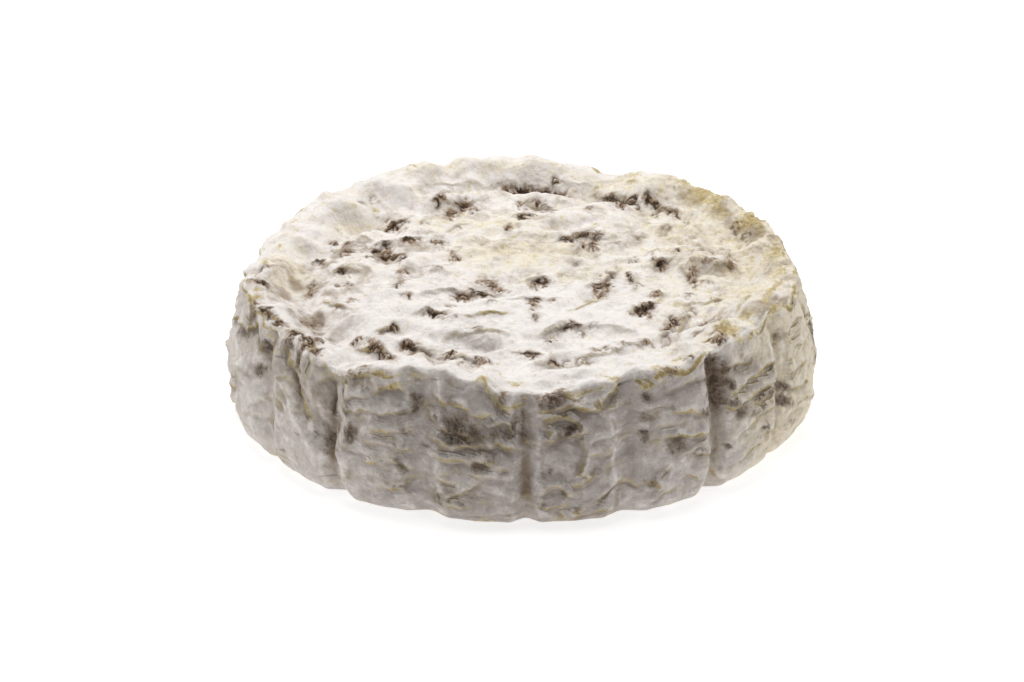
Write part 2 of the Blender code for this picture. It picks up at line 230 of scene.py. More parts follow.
rindMarks = {
    # dark mould on the top: x, y, half length, half width, turn, darkness
    "topMould": [
        (-19, 42.6, 1.6, 0.6, 25, 0.9), (-13, 42, 2.4, 0.9, 85, 1), (-11.2, 41, 2.6, 0.8, 88, 0.95),
        (-15.6, 39, 2, 1.4, 75, 1), (-16.6, 35.8, 2.6, 0.9, 75, 0.55), (-21.3, 31, 1.2, 0.9, 0, 0.55),
        (-29, 32.6, 1.5, 1.3, 0, 0.95), (-30.3, 35.4, 0.8, 0.6, 0, 0.7), (-27.4, 33.6, 2, 1.2, 70, 0.6),
        (-27.3, 27.5, 1.8, 1.1, 80, 0.5), (-42, 24.2, 2.8, 0.6, 88, 0.85), (-24.8, 21, 1.8, 1.3, -30, 1),
        (-18.3, 20.4, 1.5, 0.8, 0, 0.85), (-17.6, 18.6, 1.3, 0.5, 80, 0.7), (-32.4, 16.6, 2, 1.1, 85, 1),
        (-30.3, 15.6, 3.4, 1.2, 85, 1), (-30.5, 20.6, 1.3, 0.8, 0, 0.75), (-28, 12.7, 1.9, 0.9, -10, 0.8),
        (-26.6, 10.4, 2.4, 0.6, 80, 0.55), (-39.3, 20.3, 1, 0.8, 0, 0.75), (-38.8, 16, 2, 0.9, 80, 0.65),
        (-37.4, 17.6, 0.9, 0.7, 0, 0.55), (-35.2, 18, 0.6, 1.6, 0, 0.45), (-45.2, 15.5, 1.5, 1, 30, 0.9),
        (-44, 11.4, 4, 0.5, 100, 0.65), (-15, 10.7, 0.9, 0.7, 0, 0.95), (-15.3, 14, 2, 0.5, 95, 0.55),
        (-21, 7.6, 1.5, 0.8, 0, 0.45), (-18, 5.4, 0.9, 0.4, 0, 0.55), (-40.2, 4.4, 1.1, 0.8, 0, 0.9),
        (-39, 2, 1.6, 0.4, 80, 0.55), (-26.8, 4, 1, 0.7, 40, 0.8), (-46.3, 0.5, 2, 0.7, 90, 0.65),
        (-57, 2.4, 1.7, 0.8, 45, 0.65), (-34.6, 12.4, 0.9, 0.6, 0, 0.5), (0.2, 33.5, 1.2, 1, 0, 1),
        (2.1, 33.8, 0.7, 0.4, 30, 0.7), (-3, 27.3, 0.9, 0.8, 30, 0.85), (-14.3, 28.4, 2.2, 0.5, 55, 0.5),
        # the mark of darkness 2.2 at 3.4, 50.6 is the back crease's dark slit, painted shade in the crease
        (-0.4, 43.2, 2.2, 0.5, 88, 0.55), (1.6, 43, 2.4, 0.5, 92, 0.5), (3.4, 50.6, 4.8, 0.7, -3, 2.2),
        (-17.4, 46.4, 2.4, 1.1, 50, 0.45), (-34, 41.2, 1.2, 0.5, 20, 0.5), (-36.4, 39, 0.7, 0.5, 60, 0.5),
        (3.8, 44.3, 1.2, 0.8, -30, 0.95), (6.3, 41, 4.6, 0.8, -75, 0.5), (15.7, 37.2, 0.8, 0.6, 0, 0.6),
        (23, 42, 2.6, 1.2, 80, 1), (25.8, 43.8, 3, 0.6, -65, 0.95), (21.2, 47.4, 3.2, 0.6, -35, 0.85),
        (30, 42.4, 2.8, 0.6, -30, 0.8), (34.8, 38.3, 1.9, 1.1, -60, 0.95), (31.5, 38.9, 1.2, 0.8, 90, 0.8),
        (37.5, 30, 2.6, 0.7, 90, 0.6), (10.2, 22.4, 1.9, 0.8, 45, 1), (13.3, 20, 4.2, 1, 90, 0.9),
        (16.2, 18.8, 3.4, 1.2, 88, 0.95), (14, 24.8, 1.9, 0.7, 0, 0.8), (17.4, 23.4, 2, 0.6, -50, 0.7),
        (11.9, 17.2, 1.6, 0.6, 90, 0.6), (21, 18.3, 1, 0.5, -50, 0.6), (27.8, 21, 1, 0.6, 30, 0.6),
        (24.3, 9, 1.3, 0.6, 90, 0.8), (25.6, 11.2, 0.5, 1.2, 0, 0.5), (31.3, 7.9, 1.4, 1, -20, 0.85),
        (29.8, 13, 1.5, 0.8, 60, 0.4), (35, 12.4, 0.9, 0.5, 50, 0.75), (38.5, 10.4, 1.4, 0.5, 100, 0.85),
        (40.6, 13, 3, 0.5, 95, 0.5), (43, 12.2, 3, 0.5, 88, 0.5), (46.5, 10.4, 3.4, 0.7, 88, 0.6),
        (41.6, 6.2, 1.4, 0.5, 0, 0.65), (46.6, 5.6, 1.2, 0.5, 20, 0.75), (46.2, 15, 1, 0.5, 50, 0.5),
        (38.3, 0.6, 4.4, 0.9, 90, 0.95), (36.8, 4.4, 1.2, 0.6, -30, 0.7), (40.6, -4, 1.4, 0.7, 0, 0.5),
        (20, 2.2, 1.1, 0.8, 90, 0.95), (17.9, -3.6, 3.2, 1.5, 78, 1), (24, 1.2, 1.6, 0.6, 90, 0.7),
        (24.2, -1.6, 1.3, 0.7, 90, 0.8), (25.5, -4.5, 1.2, 0.6, 60, 0.6), (49, 28, 1.5, 0.7, 90, 0.7),
        (50.6, 23.5, 3.4, 0.8, 90, 0.5), (8.4, 52.4, 1.4, 0.4, 15, 0.8), (12.6, 6.2, 1, 0.5, 10, 0.5),
        (9, 1.5, 0.9, 0.4, 50, 0.5), (33, 26, 1, 0.5, -10, 0.5), (44.6, 21, 0.6, 2, 0, 0.35),
        (-57.6, -3, 1.7, 1.7, 0, 0.85), (-57.4, -8, 2.6, 1, 10, 0.85), (-46.2, -3.6, 1.5, 1.2, 60, 0.55),
        (-41, -2, 1.1, 0.8, 0, 0.6), (-38.3, -3, 2, 0.7, 90, 0.85), (-26.7, -0.6, 2.4, 0.7, 90, 0.85),
        (-24.8, -9.8, 1.3, 0.7, 60, 0.75), (-37.2, -12, 1.6, 0.9, 100, 0.8), (-40, -15, 2.8, 1, -60, 0.5),
        (-13, -7.7, 1.8, 1.3, 0, 1), (-8.6, -6.6, 2.8, 1, -8, 0.85), (-5.4, -4.2, 3, 0.9, -60, 0.75),
        (-8, -0.6, 1.9, 1.5, 0, 0.95), (-18.2, -12, 2.8, 0.6, 90, 0.35), (-6.3, -12, 3.2, 0.6, 90, 0.45),
        (-15.8, -14.2, 1.3, 0.6, 10, 0.7), (-18.7, -18.3, 1.7, 1, -20, 1),
        (-16, -21.8, 2.6, 1.2, -70, 0.55), (-10.2, -28.8, 1.3, 0.6, -10, 0.75),
        (-28, -28.9, 1.9, 0.6, 25, 0.85), (-35.2, -30.9, 1, 0.9, 0, 0.95),
        (-31.3, -33.8, 2.6, 0.9, -45, 0.9), (-28.2, -38.4, 3.4, 1, -65, 0.65),
        (-28.4, -45, 5, 1.2, -85, 0.55), (-23.5, -34.5, 1.7, 1.6, 0, 0.9),
        (-21.5, -38.4, 2.6, 1.4, -40, 0.85), (-20.4, -44.6, 3.4, 1.4, -80, 0.65),
        (-15, -41, 2.6, 1.1, 90, 1), (-8.6, -45, 1.4, 0.8, 20, 0.8), (-12, -45.6, 1.6, 0.9, 0, 0.5),
        (-46, -20, 3, 1.4, 80, 0.55), (-44.6, -26, 3.8, 1.1, 88, 0.5), (-44, -33, 3, 1.1, 88, 0.6),
        (-43, -39, 1.6, 0.7, 0, 0.6), (-56, -26, 3, 1.4, -50, 0.9), (-52.6, -30.5, 2, 1.5, -40, 0.9),
        (-58, -19.6, 1.6, 1, -50, 0.7), (-48, -36.6, 2.4, 1.3, -60, 0.9), (-46.2, -39, 1.8, 1.1, -50, 0.85),
        (-44, -42.4, 1.8, 0.9, -30, 0.7), (3.7, -1.6, 2, 1.2, 0, 1), (2.6, -4.2, 2, 1.2, 90, 0.7),
        (2.3, -13.8, 1.6, 0.8, 0, 0.85), (3, -17, 2.8, 0.8, 90, 0.8), (6.8, -14, 1, 0.5, 0, 0.6),
        (3.7, -23.6, 1.9, 0.6, 70, 0.5), (15.5, -11.5, 2.2, 0.8, 80, 0.6), (30, -8.3, 1.7, 1.1, 60, 0.85),
        (28, -15.4, 2.2, 1.2, 70, 0.95), (26.3, -18.4, 2, 1.1, 30, 1), (27.8, -21.5, 2.4, 0.7, 95, 0.8),
        (36.8, -11.5, 1.6, 0.7, 80, 0.7), (43.3, -13, 2.2, 0.7, 85, 0.6), (36.5, -20, 3, 1.2, 75, 0.45),
        (33, -24, 2.4, 0.9, 60, 0.9), (31.3, -28.6, 3.6, 0.9, 85, 0.85), (33.6, -30, 2.6, 0.6, 90, 0.6),
        (39.2, -27.6, 3.4, 0.8, 85, 0.6), (43, -30, 2.8, 0.5, 90, 0.45), (10.2, -28.3, 1.7, 0.5, 10, 0.75),
        (12.3, -27.5, 0.8, 0.4, 20, 0.9), (16, -26.4, 1.5, 1.1, 60, 0.55), (13.5, -29.8, 1, 0.8, 0, 0.5),
        (20.5, -26, 1.8, 0.6, 90, 0.35), (6.2, -33, 2.6, 0.7, 90, 0.65), (6.2, -36.4, 0.9, 0.5, 0, 0.6),
        (2, -40.5, 1.7, 1.4, 0, 0.95), (2.8, -42.2, 0.9, 0.6, 0, 1), (26.5, -37, 1.8, 0.5, 45, 0.7),
        (21.8, -39.4, 0.7, 0.6, 0, 0.9), (19, -41.5, 1.2, 0.5, -10, 0.8), (16, -42, 1, 0.9, 0, 0.8),
        (6.5, -42, 2.2, 0.4, 90, 0.5), (7.3, -47, 1.6, 0.6, -15, 0.9), (10, -46.8, 0.9, 0.4, 0, 0.6),
        (13.5, -46.2, 1.5, 0.4, 15, 0.6), (9.4, -51, 2.6, 0.7, 90, 0.45), (13.4, -49.5, 1, 0.5, 80, 0.5),
        (3, -51, 2.6, 0.4, 85, 0.4), (37.5, -35, 1.2, 0.4, 0, 0.6), (31, -37.5, 2.8, 0.8, 90, 0.4),
        (42, -39.4, 2.2, 1.3, -60, 0.7), (42.4, -43, 1.8, 1.2, 0, 0.7), (35.5, -49.2, 1.2, 0.7, 0, 0.6),
    ],
    # ochre on the top and its edge: x, y, half length, half width, turn, strength
    "topOchre": [
        (26, 54, 4, 1.6, -25, 0.6), (35, 49, 3, 1.6, -35, 0.55), (52.4, 27, 5.4, 1.4, -75, 1),
        (42, 43, 6, 3, -50, 0.75), (37, 47, 3.6, 2.6, -40, 0.7), (45, 36, 4, 1.2, -55, 0.6),
        (26, 51, 1.6, 1.2, 0, 0.85), (25, 56, 3, 2, 80, 0.5), (17.6, 51.6, 1.4, 0.8, 60, 0.7),
        (9, 58, 3, 1.4, 0, 0.45), (57, 8, 4.6, 2.4, 75, 0.8), (51, 6, 6, 1.6, 80, 0.45),
        (57, -4, 3.2, 1.6, 70, 0.75), (55.4, -14, 6, 1, 72, 0.9), (53, -24, 5, 0.9, 80, 0.8),
        (49, -24, 5, 1.6, 85, 0.4), (48.4, -32, 1.6, 1, 0, 0.8), (44, -38, 3.6, 2, -60, 0.95),
        (40, -42, 2, 1.6, 0, 0.7), (36, -38, 3.2, 0.5, 80, 0.5), (33, -48, 1.4, 1, 0, 0.8),
        (19, -57.5, 3, 1.6, -40, 0.7), (29, -54, 3, 1, 30, 0.6), (43, -13, 2.4, 1, 85, 0.5),
        (17, -11.6, 1.6, 0.9, 60, 0.55), (14, -14.4, 3, 0.7, 20, 0.6), (17.6, 2, 0.9, 0.7, 0, 0.95),
        (-7.4, -21.6, 2.8, 0.5, 8, 0.9), (-6.5, -29.4, 2.6, 0.7, -15, 0.55), (-13.8, -42, 0.6, 1.8, 0, 0.7),
        (-16.8, -36.6, 1.6, 0.5, -20, 0.7), (-17.8, -12, 2.4, 0.8, 90, 0.45), (-21, -24, 3, 0.6, 90, 0.3),
        (-57.6, -12.4, 2.8, 1.1, 90, 0.85), (-57.6, -17.2, 1.6, 1, 0, 0.9), (-58.4, -22, 2, 1.2, -60, 0.7),
        (-54.4, -26.6, 3, 1, -50, 0.6), (-49, -35.6, 3, 1, -55, 0.6), (-45, -41, 2.4, 1, -40, 0.7),
        (-57, 7.4, 2.4, 0.9, 85, 0.8), (-55.4, 11, 2, 0.7, 60, 0.6), (-54.4, 18, 1.8, 0.6, 90, 0.8),
        (-54, 24, 3, 0.5, 85, 0.5), (-51.4, 31.4, 2.4, 0.6, 60, 0.6), (-42, 42, 1.8, 1.6, 0, 0.5),
        (-33.4, 38.6, 1, 1.2, 0, 0.85), (-38.6, 36.4, 1.6, 0.5, 15, 0.6), (-24.6, 54, 2.6, 0.7, -70, 0.75),
        (-26, 55.4, 1.6, 1, 0, 0.6), (-21.4, 55, 2.4, 0.5, -80, 0.6), (-16, 57, 2.6, 1.6, 60, 0.4),
        (-8, 58.6, 1.8, 2.4, 0, 0.4), (-1.6, 58.6, 0.8, 2, 0, 0.5), (-6, 49, 4.5, 1.1, 8, 0.6),
        (-12, 49, 1, 2.6, 0, 0.5), (-32.6, 30, 4, 0.6, 90, 0.45), (-33.4, 8, 2.6, 0.9, 90, 0.5),
        (-21.3, 17.4, 1.4, 0.5, 90, 0.8), (-14.8, 17.6, 1.6, 0.5, 90, 0.6), (-20.6, 34, 4, 1, 60, 0.35),
        (-11, 9.6, 2.2, 0.7, 0, 0.5), (-6.6, 5, 2, 1.2, 30, 0.35), (-2.4, 30.4, 1.6, 0.5, 90, 0.55),
        (0.6, 26.6, 1.6, 0.5, 80, 0.5), (4, 24, 2, 0.5, 75, 0.4), (-7.2, 24.5, 0.8, 0.5, 0, 0.7),
        (8, 32, 3, 0.6, 0, 0.45), (17.2, 29, 1.8, 0.7, -50, 0.75), (27.6, 25.4, 2.6, 0.5, -75, 0.7),
        (25.6, 11.4, 1.4, 0.4, 90, 0.6), (13, 15, 3, 0.8, -40, 0.35), (41, 22, 0.6, 3, 0, 0.5),
        (36.6, 28.4, 2.2, 0.7, 20, 0.4), (58, 16, 1.4, 0.6, 60, 0.75), (27.6, -26.6, 2.4, 1.2, -70, 0.5),
        (26.4, -12.4, 2.6, 0.5, 85, 0.5), (32.6, -16, 0.6, 2.6, 0, 0.35), (-4.6, -54, 4, 0.9, 90, 0.6),
        (-0.8, -57.6, 2.4, 1.4, 0, 0.7),
    ],
    # painted lilac-grey shade in the smooth hollows: x, y, half length, half width, turn, strength
    "topGrey": [
        (-10, -33, 8, 3.4, -12, 0.8), (-7, -38, 3.6, 5, 0, 0.55), (-14, -36, 5, 3.6, 0, 0.5),
        (-33, -4, 3, 6, 0, 0.4), (-33.4, -14, 1.6, 5, 0, 0.45), (-11, -25, 9, 2.6, 0, 0.4),
        (-20, 1, 1.6, 4, 0, 0.35), (27, 35, 6, 4, -40, 0.25), (41, 10, 7, 6, 0, 0.12),
        (8, -34, 10, 4, 0, 0.2), (-36, -24, 5, 4, 0, 0.3), (10, 27, 5, 3.4, 0, 0.25),
        (-22, 47, 2.6, 3, 0, 0.3), (24, 40, 6, 3, -40, 0.3), (58, -14, 2, 8, 10, 0.3),
    ],
    # brownish where the skin thins, and painted shade in the moats, the hollows and under the back roll: x,
    # y, half length, half width, turn, strength
    "topTan": [
        (-48.6, 10.6, 4.6, 1.5, 78, 0.7), (-46, -14, 9, 2.2, 88, 0.4), (-45, -24, 8, 2.6, 88, 0.65),
        (-43.6, -34, 6, 2.2, 88, 0.65), (-50, -6, 6, 2, 90, 0.4), (-54, -14, 8, 2.4, 80, 0.45),
        (-28, -44, 8, 3, -80, 0.7), (-20, -43, 8, 4.4, -70, 0.75), (-14, -50, 6, 5, 0, 0.55),
        (-24, -36, 4, 3, -40, 0.5), (-6, 48.6, 6, 1.3, 5, 0.55), (-16, 47, 4, 2.4, 40, 0.4),
        (-37.6, 29, 1.6, 4, 0, 0.4), (-36, 19, 5, 4, 0, 0.4), (-29, 16, 6, 5, 0, 0.4),
        (-25, 27, 3, 3, 0, 0.3), (-14, 38, 4, 4, 0, 0.35), (50.6, 24, 5, 2, 88, 0.75),
        (48, 30, 3, 2, 60, 0.5), (15, 20, 5, 5, 0, 0.5), (33, 41, 7, 2.4, -35, 0.5),
        (38, 1, 2.4, 6, 0, 0.5), (42, -28, 3.4, 7, 0, 0.5), (33, -26, 2.6, 6, 0, 0.5),
        (25, -1, 3, 4, 0, 0.35), (46, 12, 4, 6, 0, 0.35), (27, -17, 2.6, 5, 0, 0.4),
        (-38, 8, 7, 3, 80, 0.3), (18, -5, 2, 4.4, 0, 0.4), (-8, -4, 5, 4, -20, 0.4),
        (46, -8, 9, 5, 80, 0.3), (0, 44, 3, 4, 0, 0.3), (10, -50, 3, 3, 0, 0.25),
    ],
    # warm cream skin: x, y, half length, half width, turn, strength
    "topCream": [
        (0, 14, 20, 14, 0, 0.9), (-8, 32, 20, 9, 0, 0.8), (-38, 32, 14, 9, 45, 0.55),
        (34, 24, 18, 12, -50, 0.8), (26, 50, 18, 6, -20, 0.8), (50, -10, 10, 18, 20, 0.9),
        (-20, 54, 16, 5, 20, 0.6), (16, 4, 14, 9, 0, 0.6), (-52, 6, 7, 18, 0, 0.8),
        (34, -18, 12, 14, 0, 0.5), (-36, 4, 10, 14, 0, 0.4), (34, -44, 10, 6, 20, 0.5),
        (0, 56, 24, 4, 0, 0.6),
    ],
    # dark mould on the wall: angle, height, half width, half height, turn, darkness
    "wallMould": [
        (-61, 26.4, 1.8, 1.2, 0, 1), (-58.4, 28.2, 2.2, 0.9, 35, 0.85), (-71, 26, 3.2, 0.9, 18, 0.8),
        (-69, 31.2, 2.4, 1.6, 0, 0.75), (-62, 21.2, 1.4, 1, 0, 0.7), (-57, 17, 0.8, 0.8, 0, 0.45),
        (-60, 15.6, 0.6, 0.7, 0, 0.4), (-77, 9.2, 1.4, 0.6, 0, 0.4), (-52.6, 32, 1.6, 1.4, 0, 0.85),
        (-49, 30, 0.8, 3, 0, 0.8), (-47.4, 21.4, 0.9, 2.2, 0, 0.5), (-44.6, 17.4, 0.6, 0.8, 0, 0.6),
        (-36.5, 25.6, 1.3, 0.6, -60, 0.9), (-35, 23, 0.9, 1.4, 0, 0.55), (-36, 21, 0.7, 1.1, 30, 0.75),
        (-34.2, 17, 1.5, 1.3, 0, 0.95), (-40.2, 12.4, 0.8, 1.8, 0, 0.75), (-42.5, 14.4, 0.9, 0.9, 0, 0.45),
        (-39.2, 20.6, 0.6, 1.8, 0, 0.8), (-38, 16, 0.4, 3, 0, 0.5), (-37.6, 11, 0.5, 1.4, 0, 0.5),
        (-33.4, 31, 2.6, 1.2, 20, 0.7), (-32, 28.4, 2.2, 1, 0, 0.4), (-20.6, 26.3, 0.9, 1.7, 0, 0.95),
        (-23, 24.7, 1.5, 0.5, 0, 0.55), (-22.4, 20.1, 0.9, 0.5, -30, 0.6), (-23, 12.4, 1.3, 0.8, -60, 0.7),
        (-23.2, 7.6, 0.9, 0.5, 20, 0.6), (-24, 17.6, 2.2, 1, 0, 0.35), (-12, 23.6, 2.8, 1.9, 0, 0.7),
        (-11.4, 22.2, 2.2, 0.5, -8, 0.9), (-11, 20.4, 4.4, 0.9, 0, 0.8), (-5, 21.6, 2.6, 1.6, -20, 0.5),
        (-1.3, 23, 0.5, 2, 0, 0.95), (-2.6, 31, 2.2, 0.8, 60, 0.75), (-7.3, 15, 1.4, 1, 0, 0.85),
        (-5.2, 16.6, 0.8, 1, 0, 0.5), (-14.4, 17, 1, 0.7, 0, 0.45), (-16, 23.8, 1.3, 0.5, -50, 0.7),
        (-13.4, 28.6, 0.9, 0.6, 30, 0.6), (0.6, 22.6, 0.6, 4, 0, 0.6), (1.2, 11, 0.6, 3, 0, 0.35),
        (-12.4, 7.2, 3.8, 0.3, 32, 0.55), (-15.6, 6.2, 0.4, 1.6, 20, 0.6), (-11, 4.6, 0.8, 0.4, 0, 0.5),
        (6.2, 28.8, 2.3, 1.2, 10, 0.9), (8.4, 30.4, 1.4, 0.7, -30, 0.8), (9, 22.4, 1.9, 0.9, 30, 0.95),
        (10.6, 23.4, 1.3, 0.8, 40, 0.6), (5.3, 13.8, 0.6, 1, 0, 0.8), (4.2, 12.6, 0.5, 0.8, 0, 0.7),
        (7, 12.4, 1.2, 1, 0, 0.35), (8.2, 8.6, 0.4, 1.2, 0, 0.75), (7, 5.5, 0.9, 0.4, 20, 0.6),
        (4, 5.2, 0.6, 0.7, 0, 0.6), (10.5, 3.8, 0.9, 0.4, 20, 0.7), (16.4, 6.8, 2.2, 0.4, 50, 0.8),
        (13.6, 12.4, 0.9, 0.4, -10, 0.6), (24.6, 27.3, 0.8, 0.8, 0, 0.85), (24.2, 22.5, 0.9, 0.6, 0, 0.7),
        (24.2, 19, 0.6, 1, 0, 0.9), (25.4, 8.2, 0.8, 0.8, 0, 0.6), (27.4, 9.4, 0.9, 0.4, 40, 0.6),
        (31, 15.6, 1.9, 1.2, -50, 0.8), (29.4, 14.3, 0.4, 0.5, 0, 0.6), (30.4, 31.8, 2, 0.9, 0, 0.7),
        (38.4, 20.4, 1.7, 0.8, -45, 0.9), (38.3, 27.5, 0.6, 0.5, 0, 0.7), (38.3, 24.1, 0.6, 0.5, 0, 0.7),
        (36.4, 21.6, 0.9, 0.5, -45, 0.6), (35.6, 11.8, 0.7, 0.4, -20, 0.8), (38, 11, 0.4, 0.4, 0, 0.7),
        (41.2, 30, 1.4, 2.8, 0, 0.9), (42, 26.4, 1.4, 2.6, 0, 0.85), (41.8, 22.6, 1.5, 2.2, 0, 1),
        (44.2, 28, 0.8, 1.2, 0, 0.95), (44.3, 25, 0.7, 0.9, 0, 0.95), (45, 20.5, 1.2, 0.5, -10, 0.85),
        (43.5, 11, 0.7, 0.5, 0, 0.7), (47, 17.8, 1.6, 0.8, 0, 0.85), (53, 19.5, 1.4, 0.8, 0, 0.85),
        (50.6, 16, 0.9, 0.6, 0, 0.6), (53.4, 16, 1.4, 0.5, 0, 0.6), (57.3, 24.2, 0.9, 0.8, 0, 0.8),
        (54.2, 11.2, 0.8, 0.4, 0, 0.8), (46.6, 28, 0.7, 0.5, 0, 0.7), (49.6, 28, 1.8, 0.5, 0, 0.6),
        (56.6, 18.6, 2, 0.6, 0, 0.7), (62.4, 17, 1.9, 0.6, -25, 1), (63.2, 13.4, 3, 0.8, -28, 1),
        (62.6, 28.6, 1.4, 0.8, 0, 0.6), (60.6, 6.6, 0.6, 0.8, 0, 0.4), (66.4, 7.2, 0.5, 1, 0, 0.35),
    ],
    # grey of the wall's thin bloom, with painted shade under the rim and in the flutes: angle, height, half
    # width, half height, turn, strength
    "wallGrey": [
        (-29, 27, 11, 5, 8, 0.8), (-29, 20, 10, 4, 10, 0.5), (-10, 23, 11, 6, -8, 1),
        (-10, 15, 9, 4, 0, 0.55), (10, 26, 10, 5, 6, 0.9), (11, 16, 9, 6, 0, 0.75), (30, 27, 10, 5, 0, 0.9),
        (31, 17, 8, 4, 0, 0.55), (1, 15, 2.2, 15, 0, 0.9), (21.6, 14, 3, 15, 0, 0.85),
        (42, 24, 3, 9, 0, 0.9), (42.6, 11, 2.2, 6, 0, 0.6), (-39.5, 16, 2.4, 12, 0, 0.7),
        (-19.2, 15, 2, 12, 0, 0.6), (52, 24, 8, 6, 0, 0.7), (61, 18, 2.4, 12, 0, 0.6),
        (-66, 28, 9, 3, 0, 0.5), (-55, 24, 6, 5, -40, 0.4),
    ],
    # brown of the wall, painted shade where it lies in the flutes: angle, height, half width, half height,
    # turn, strength
    "wallTan": [
        (-42, 22, 2.6, 8, 0, 0.8), (-60, 25, 5, 4, 0, 0.5), (-70, 26, 6, 3, 10, 0.5),
        (-74, 14, 6, 3, 25, 0.45), (-11, 21, 5, 3, 0, 0.6), (42, 25, 2.4, 7, 0, 1), (48, 18, 5, 3, 0, 0.5),
        (52, 27, 6, 3, 0, 0.5), (63, 14, 4, 3, -25, 0.7), (7, 28, 4, 2, 0, 0.6), (31, 15, 4, 3, 0, 0.4),
        (-34, 18, 3, 3, 0, 0.4), (-47, 24, 3, 7, 20, 0.6), (-22, 12, 3, 3, 0, 0.3), (15, 3, 6, 2, 0, 0.4),
        (26, 6, 3, 5, 0, 0.35), (63, 28, 4, 3, 0, 0.45), (-69, 31, 5, 3, 0, 0.6),
    ],
    # marks strewn over the sides that don't show: count, greatest half length, least and most strength
    "hidden": {
        "mould": (60, 2.4, 0.5, 1.0),
        "grey": (22, 12.0, 0.4, 0.9),
        "tan": (18, 6.0, 0.3, 0.8),
        "angles": (80, 272),
        "heights": (3, 31),
        "widths": (0.4, 1.6),
        "turns": (-20, 20),
    },
    # domes of crumpled skin on marks that aren't too faint or a slit, places in their own radii
    "crumples": {
        "darkFrom": 0.4,
        "darkTo": 1.2,
        "perArea": 0.9,
        "length": (0.6, 1.3),
        "width": (0.6, 1.1),
        "facing": 35,
        "reach": 4,
        "domeWidth": 0.95,
        "crevicePlace": 1.35,
        "creviceWidth": 0.4,
        "linePlace": 1.15,
        "lineWidth": 0.9,
    },
    "topSpread": 1.3,
    "wallSpread": 1.6,
    "creviceDepth": 0.4,
    "domeHeight": 0.6,
    "wallCrumples": 0.2,
    "seed": 7,
}
print("marks listed:", sum(len(v) for v in rindMarks.values() if isinstance(v, list)))


# folds of skin round the wall, left by the draining mat

